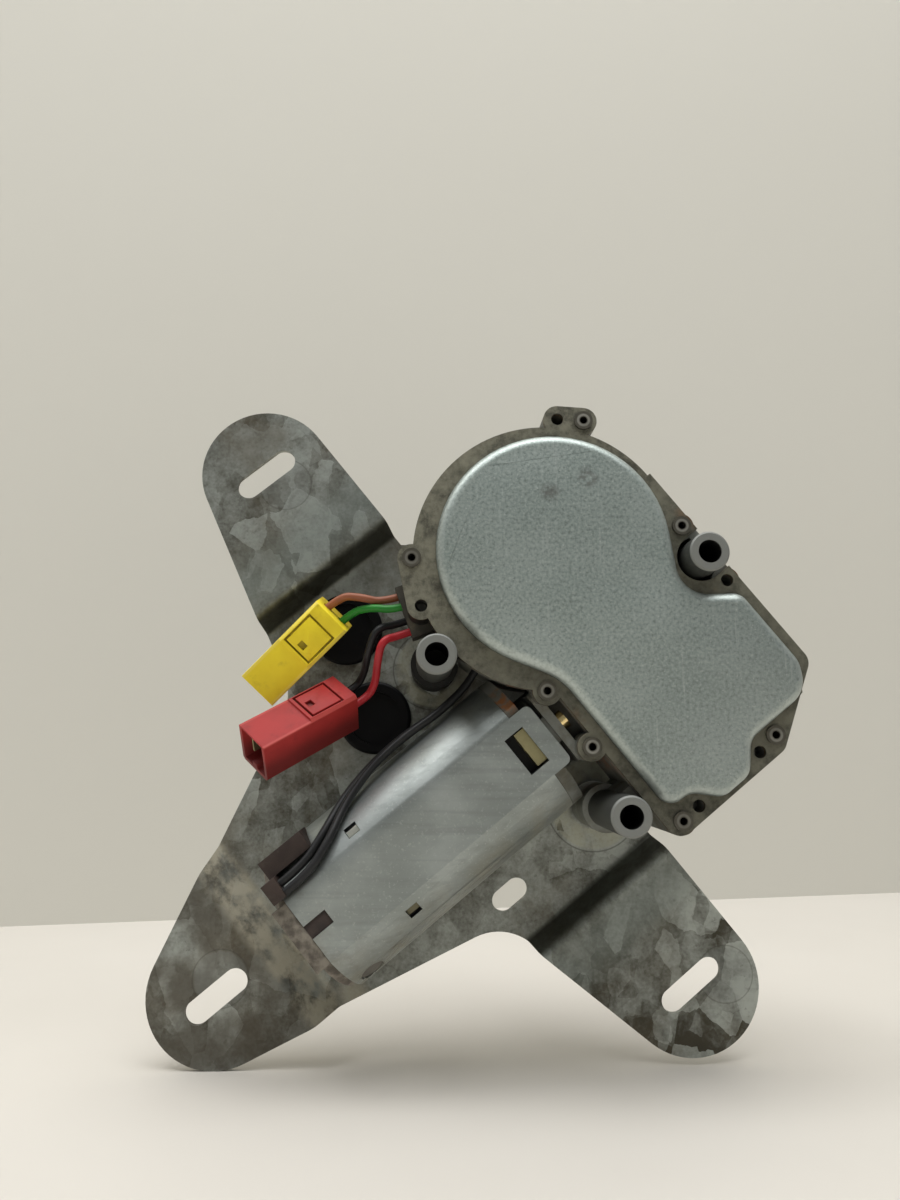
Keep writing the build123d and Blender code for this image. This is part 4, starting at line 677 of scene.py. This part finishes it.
def cover_zinc():
    zinc = Finish("cover_zinc")
    speck = zinc.noise(1000.0, 4.0, 0.65)
    fleck = zinc.noise(1700.0, 2.0, seed=2.0)
    cloud = zinc.noise(26.0, 5.0, seed=3.0)
    shade = zinc.mix(cloud.step(0.3, 0.72), tone(140, 152, 147), tone(166, 176, 172))
    shade = zinc.mix(speck.step(0.42, 0.7) * 0.5, shade, tone(198, 207, 203))
    shade = zinc.mix(fleck.step(0.62, 0.74) * 0.5, shade, tone(226, 231, 228))
    shade = zinc.mix(speck.step(0.47, 0.3) * 0.6, shade, tone(96, 105, 101))
    # Painted shade: the cover darkens towards its lower side.
    shade = zinc.mix(across(zinc).step(45.0, -12.0) * 0.3, shade, tone(120, 124, 122))
    for turn in SCRATCH_TURNS:
        line = zinc.noise(330.0, 2.0, at=zinc.stretched((1.0, 1.0, 0.05), turn), seed=turn)
        shade = zinc.mix(line.step(0.69, 0.72) * 0.18, shade, tone(206, 211, 208))
    for a, b, reach in STAINS:
        near = from_spot(zinc, a, b).step(reach, reach * 0.25)
        stain = near * zinc.noise(420.0, 4.0, seed=6.0).step(0.35, 0.6)
        shade = zinc.mix(stain * 0.6, shade, tone(84, 78, 72))
    rise = height(zinc)
    edge = rise.step(COVER_FACE + 0.35, COVER_FACE + 0.1)
    # Painted highlight: a paler band along the field's rolled rim.
    painted_rim_highlight = rise.band(COVER_FACE + 2.3, COVER_FACE + 3.7, 0.4)
    shade = zinc.mix(painted_rim_highlight * 0.3, shade, tone(206, 213, 208))
    # Painted shade: a dark line at the field's foot, where it meets the flange.
    painted_foot_shade = rise.band(COVER_FACE + 0.3, COVER_FACE + 1.3, 0.3)
    mottle = zinc.noise(260.0, 7.0, 0.72, seed=8.0).step(0.3, 0.64)
    dirt = zinc.mix(mottle, tone(58, 54, 40), tone(126, 123, 106))
    dirt = zinc.mix(zinc.noise(70.0, 5.0, seed=9.0).step(0.5, 0.66) * 0.55, dirt, tone(146, 143, 124))
    dirt = zinc.mix(across(zinc).step(78.0, 45.0) * 0.4, dirt, tone(50, 47, 34))
    dirt = zinc.mix(zinc.noise(60.0, 5.0, seed=12.0).step(0.6, 0.75) * 0.6, dirt, tone(116, 82, 48))
    shade = zinc.mix(painted_foot_shade * 0.78, shade, tone(60, 56, 43))
    shade = zinc.mix(edge * 0.94, shade, dirt)
    return zinc.close(
        Base_Color=shade,
        Roughness=speck * 0.08 + edge * 0.18 + 0.38,
        Metallic=0.6 - edge * 0.3,
        Normal=zinc.bump(speck + fleck * 0.5, 0.00007),
    )


def rounded(corners):
    """Points along an outline of corners (a, b, radius), each turned into an arc."""
    points = []
    befores = corners[-1:] + corners[:-1]
    afters = corners[1:] + corners[:1]
    for before, (a, b, radius), after in zip(befores, corners, afters):
        corner = Vector((a, b))
        back = (Vector(before[:2]) - corner).normalized()
        on = (Vector(after[:2]) - corner).normalized()
        half = back.angle(on) / 2
        middle = corner + (back + on).normalized() * (radius / math.sin(half))
        start = corner + back * (radius / math.tan(half)) - middle
        turn = start.angle_signed(corner + on * (radius / math.tan(half)) - middle)
        steps = max(3, round(abs(turn) / ARC_STEP))
        points += [middle + Matrix.Rotation(-turn * step / steps, 2) @ start for step in range(steps + 1)]
    return points


zinc_cover = cover_zinc()
flange = merged_copy("gear_cover", "cover_flange", zinc_cover)
for vertex in flange.data.vertices:
    vertex.select = -vertex.co.y > (COVER_FACE + ABOVE_FLANGE) * MM
bpy.ops.object.mode_set(mode="EDIT")
bpy.ops.mesh.select_mode(type="VERT")
bpy.ops.mesh.delete(type="VERT")
bpy.ops.mesh.select_all(action="SELECT")
bpy.ops.mesh.fill_holes(sides=0)
bpy.ops.mesh.normals_make_consistent(inside=False)
bpy.ops.object.mode_set(mode="OBJECT")

pressed = bpy.data.meshes.new("cover_field")
rim = [place(spot.x, spot.y, COVER_FACE - FIELD_SUNK) for spot in rounded(FIELD)]
pressed.from_pydata(rim, [], [range(len(rim))])
field = bpy.data.objects.new("cover_field", pressed)
bpy.context.collection.objects.link(field)
bpy.ops.object.select_all(action="DESELECT")
bpy.context.view_layer.objects.active = field
field.select_set(True)
bpy.ops.object.mode_set(mode="EDIT")
bpy.ops.mesh.select_mode(type="FACE")
bpy.ops.mesh.select_all(action="SELECT")
bpy.ops.mesh.extrude_region_move(TRANSFORM_OT_translate={"value": (0, -(FIELD_SUNK + FIELD_RISE) * MM, 0)})
bpy.ops.mesh.bevel(offset=FIELD_ROLL * MM, segments=8, clamp_overlap=False)
bpy.ops.mesh.select_all(action="SELECT")
bpy.ops.mesh.normals_make_consistent(inside=False)
bpy.ops.object.mode_set(mode="OBJECT")
bpy.ops.object.shade_smooth_by_angle(angle=FIELD_SMOOTH)
pressed.materials.append(zinc_cover)
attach(field, "base")


# Cover rivets: hollow steel rivets that hold the cover, staked over its flange.
# Their rolled rims are worn bright, and their holes are painted dark, as painted shade.
RIVETS = (
    (27.6, 92.5), (-41.6, 91.8), (29.6, 47.8), (-35.3, 35.0), (-35.5, 14.0), (9.5, -17.9), (-28.6, -19.2),
)


def rivet_rings():
    metal = Finish("rivet_rings")
    away = from_nearest(metal, RIVETS)
    grain = metal.noise(500.0, 4.0)
    shade = metal.mix(grain, tone(64, 61, 52), tone(100, 97, 87))
    worn = away.band(1.35, 2.05, 0.2) * metal.noise(30.0, 2.0, seed=3.0).step(0.3, 0.65)
    shade = metal.mix(worn * 0.8, shade, tone(160, 159, 151))
    # Painted shade: the rivet holes are painted near black.
    shade = metal.mix(away.step(1.3, 1.0), shade, tone(22, 20, 18))
    return metal.close(
        Base_Color=shade, Roughness=0.45 + grain * 0.1, Metallic=0.5, Normal=metal.bump(grain, 0.00004),
    )


dress(rivet_rings(), "cover_rivets")


# Connectors: moulded two-way housings with a framed latch, handled and slightly soiled.
# The yellow one is closed but for its blade slots; the red one is an open socket with two brass blades.
PLUG_HALF = 6.8
LATCH_AT = -7.0
LATCH_REACH = (6.0, 5.6)
YELLOW_HOME = ((-88.0, 93.4, 24.0), (-0.702, 0.226, -0.675), (-0.051, -0.962, -0.269))
RED_HOME = ((-96.4, 77.9, 32.0), (-0.756, -0.470, -0.455), (0.0, -0.695, 0.718))


def plug_shell(name, light, dark, soil_and_shade, worn, home):
    """Moulded housing with soil, painted shade low on the sides, dirt and painted shade in the latch's
    groove, and worn long edges.
    """
    shell = Finish(name)
    at, mouth, out = home
    mouth, out = Vector(mouth).normalized(), Vector(out).normalized()
    near = shell.add(
        "ShaderNodeVectorMath",
        {"operation": "MULTIPLY_ADD"},
        {0: shell.at, 1: (1 / MM, 1 / MM, 1 / MM), 2: -place(*at) / MM},
    )
    x, y, z = (
        shell.add("ShaderNodeVectorMath", {"operation": "DOT_PRODUCT"}, {0: near, 1: way}, "Value")
        for way in (mouth, out.cross(mouth), out)
    )
    cloud = shell.noise(90.0, 4.0)
    grain = shell.noise(2000.0, 2.0, seed=3.0)
    shade = shell.mix(cloud.step(0.25, 0.75), dark, light)
    shade = shell.mix(shell.noise(170.0, 6.0, 0.65, seed=11.0).step(0.54, 0.74) * 0.4, shade, soil_and_shade)
    # Painted shade: the sides darken towards their lower edge.
    shade = shell.mix(z.step(-2.5, -11.0) * 0.65, shade, soil_and_shade)
    aside = y.larger(y * -1.0)
    ridge = aside.step(PLUG_HALF - 1.3, PLUG_HALF - 0.6) * z.step(-1.4, -0.8)
    shade = shell.mix(ridge * 0.4, shade, worn)
    # The latch's groove is painted dark in patches: settled dirt, and painted shade in the recess.
    latch = (x - LATCH_AT).band(-LATCH_REACH[0], LATCH_REACH[0], 0.05)
    latch = latch * aside.step(LATCH_REACH[1] + 0.1, LATCH_REACH[1])
    settled = shell.noise(150.0, 4.0, seed=5.0).step(0.25, 0.6)
    shade = shell.mix(latch * z.step(-0.3, -0.8) * settled * 0.7, shade, tone(40, 30, 18))
    return shell.close(
        Base_Color=shade,
        Roughness=cloud * 0.15 + 0.48,
        Specular_IOR_Level=0.35,
        Normal=shell.bump(grain, 0.00003),
    )


yellow_shell = plug_shell(
    "yellow_shell", tone(250, 228, 46), tone(238, 213, 36), tone(158, 130, 34), tone(246, 230, 128),
    YELLOW_HOME,
)
red_shell = plug_shell(
    "red_shell", tone(170, 42, 40), tone(148, 32, 30), tone(58, 16, 15), tone(204, 96, 88), RED_HOME,
)
yellow_plug = softened("yellow_connector", "yellow_plug", yellow_shell)
red_plug = softened("red_connector", "red_plug", red_shell)


# Free wires: single strands in soft insulation, from the grey outlet block to the two connectors.
# Each lies along one smooth curve whose control points are those of the construction's route.
WIRE_D = 2.5 * MM
WIRES = (
    ("brown", tone(160, 98, 70), tone(128, 74, 52), 0.0373, (yellow_plug,),
     ((-45.4, 85.3, 22.0), (-55.7, 88.9, 22.0), (-60.2, 94.4, 24.5), (-65.5, 99.65, 22.45),
      (-77.15, 98.66, 19.73))),
    ("green", tone(44, 150, 48), tone(30, 116, 36), 0.034, (yellow_plug,),
     ((-46.7, 81.6, 25.0), (-54.5, 84.3, 25.2), (-59.8, 90.0, 24.0), (-66.0, 93.27, 21.17),
      (-76.39, 92.38, 18.75))),
    ("black", tone(36, 36, 38), tone(22, 22, 23), 0.0509, (red_plug,),
     ((-48.0, 77.8, 21.0), (-57.0, 80.9, 21.0), (-62.6, 83.8, 23.8), (-69.5, 79.4, 21.8),
      (-74.8, 75.2, 16.4), (-80.2, 73.6, 14.4), (-91.5, 75.2, 20.4))),
    ("red", tone(190, 46, 54), tone(156, 32, 40), 0.049, (red_plug, node["red_blades"]),
     ((-49.3, 74.0, 24.0), (-58.8, 77.3, 24.0), (-63.6, 79.2, 27.0), (-68.9, 75.0, 25.0),
      (-73.6, 70.4, 19.9), (-79.0, 68.4, 17.8), (-90.3, 70.0, 23.9))),
)

outlet_grey = moulded("outlet_grey", tone(74, 71, 62), tone(48, 46, 40), 0.55, tone(108, 100, 80), 0.5)
softened("wire_outlet", "outlet_block", outlet_grey)
for colour, light, dark, length, ends, route in WIRES:
    line = bpy.data.curves.new("free_wire_" + colour, "CURVE")
    line.dimensions = "3D"
    line.bevel_depth = WIRE_D / 2
    line.bevel_resolution = 6
    line.use_fill_caps = True
    spline = line.splines.new("NURBS")
    spline.points.add(len(route) - 1)
    for point, spot in zip(spline.points, route):
        point.co = (*place(*spot), 1.0)
    spline.order_u = 3
    spline.use_endpoint_u = True
    spline.resolution_u = 16
    wire = bpy.data.objects.new("free_wire_" + colour, line)
    bpy.context.collection.objects.link(wire)
    line.materials.append(moulded("insulation_" + colour, light, dark, 0.32))
    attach(wire, "base")
    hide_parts("wire_" + colour)
    "wire_" + colour
    place(*route[0])
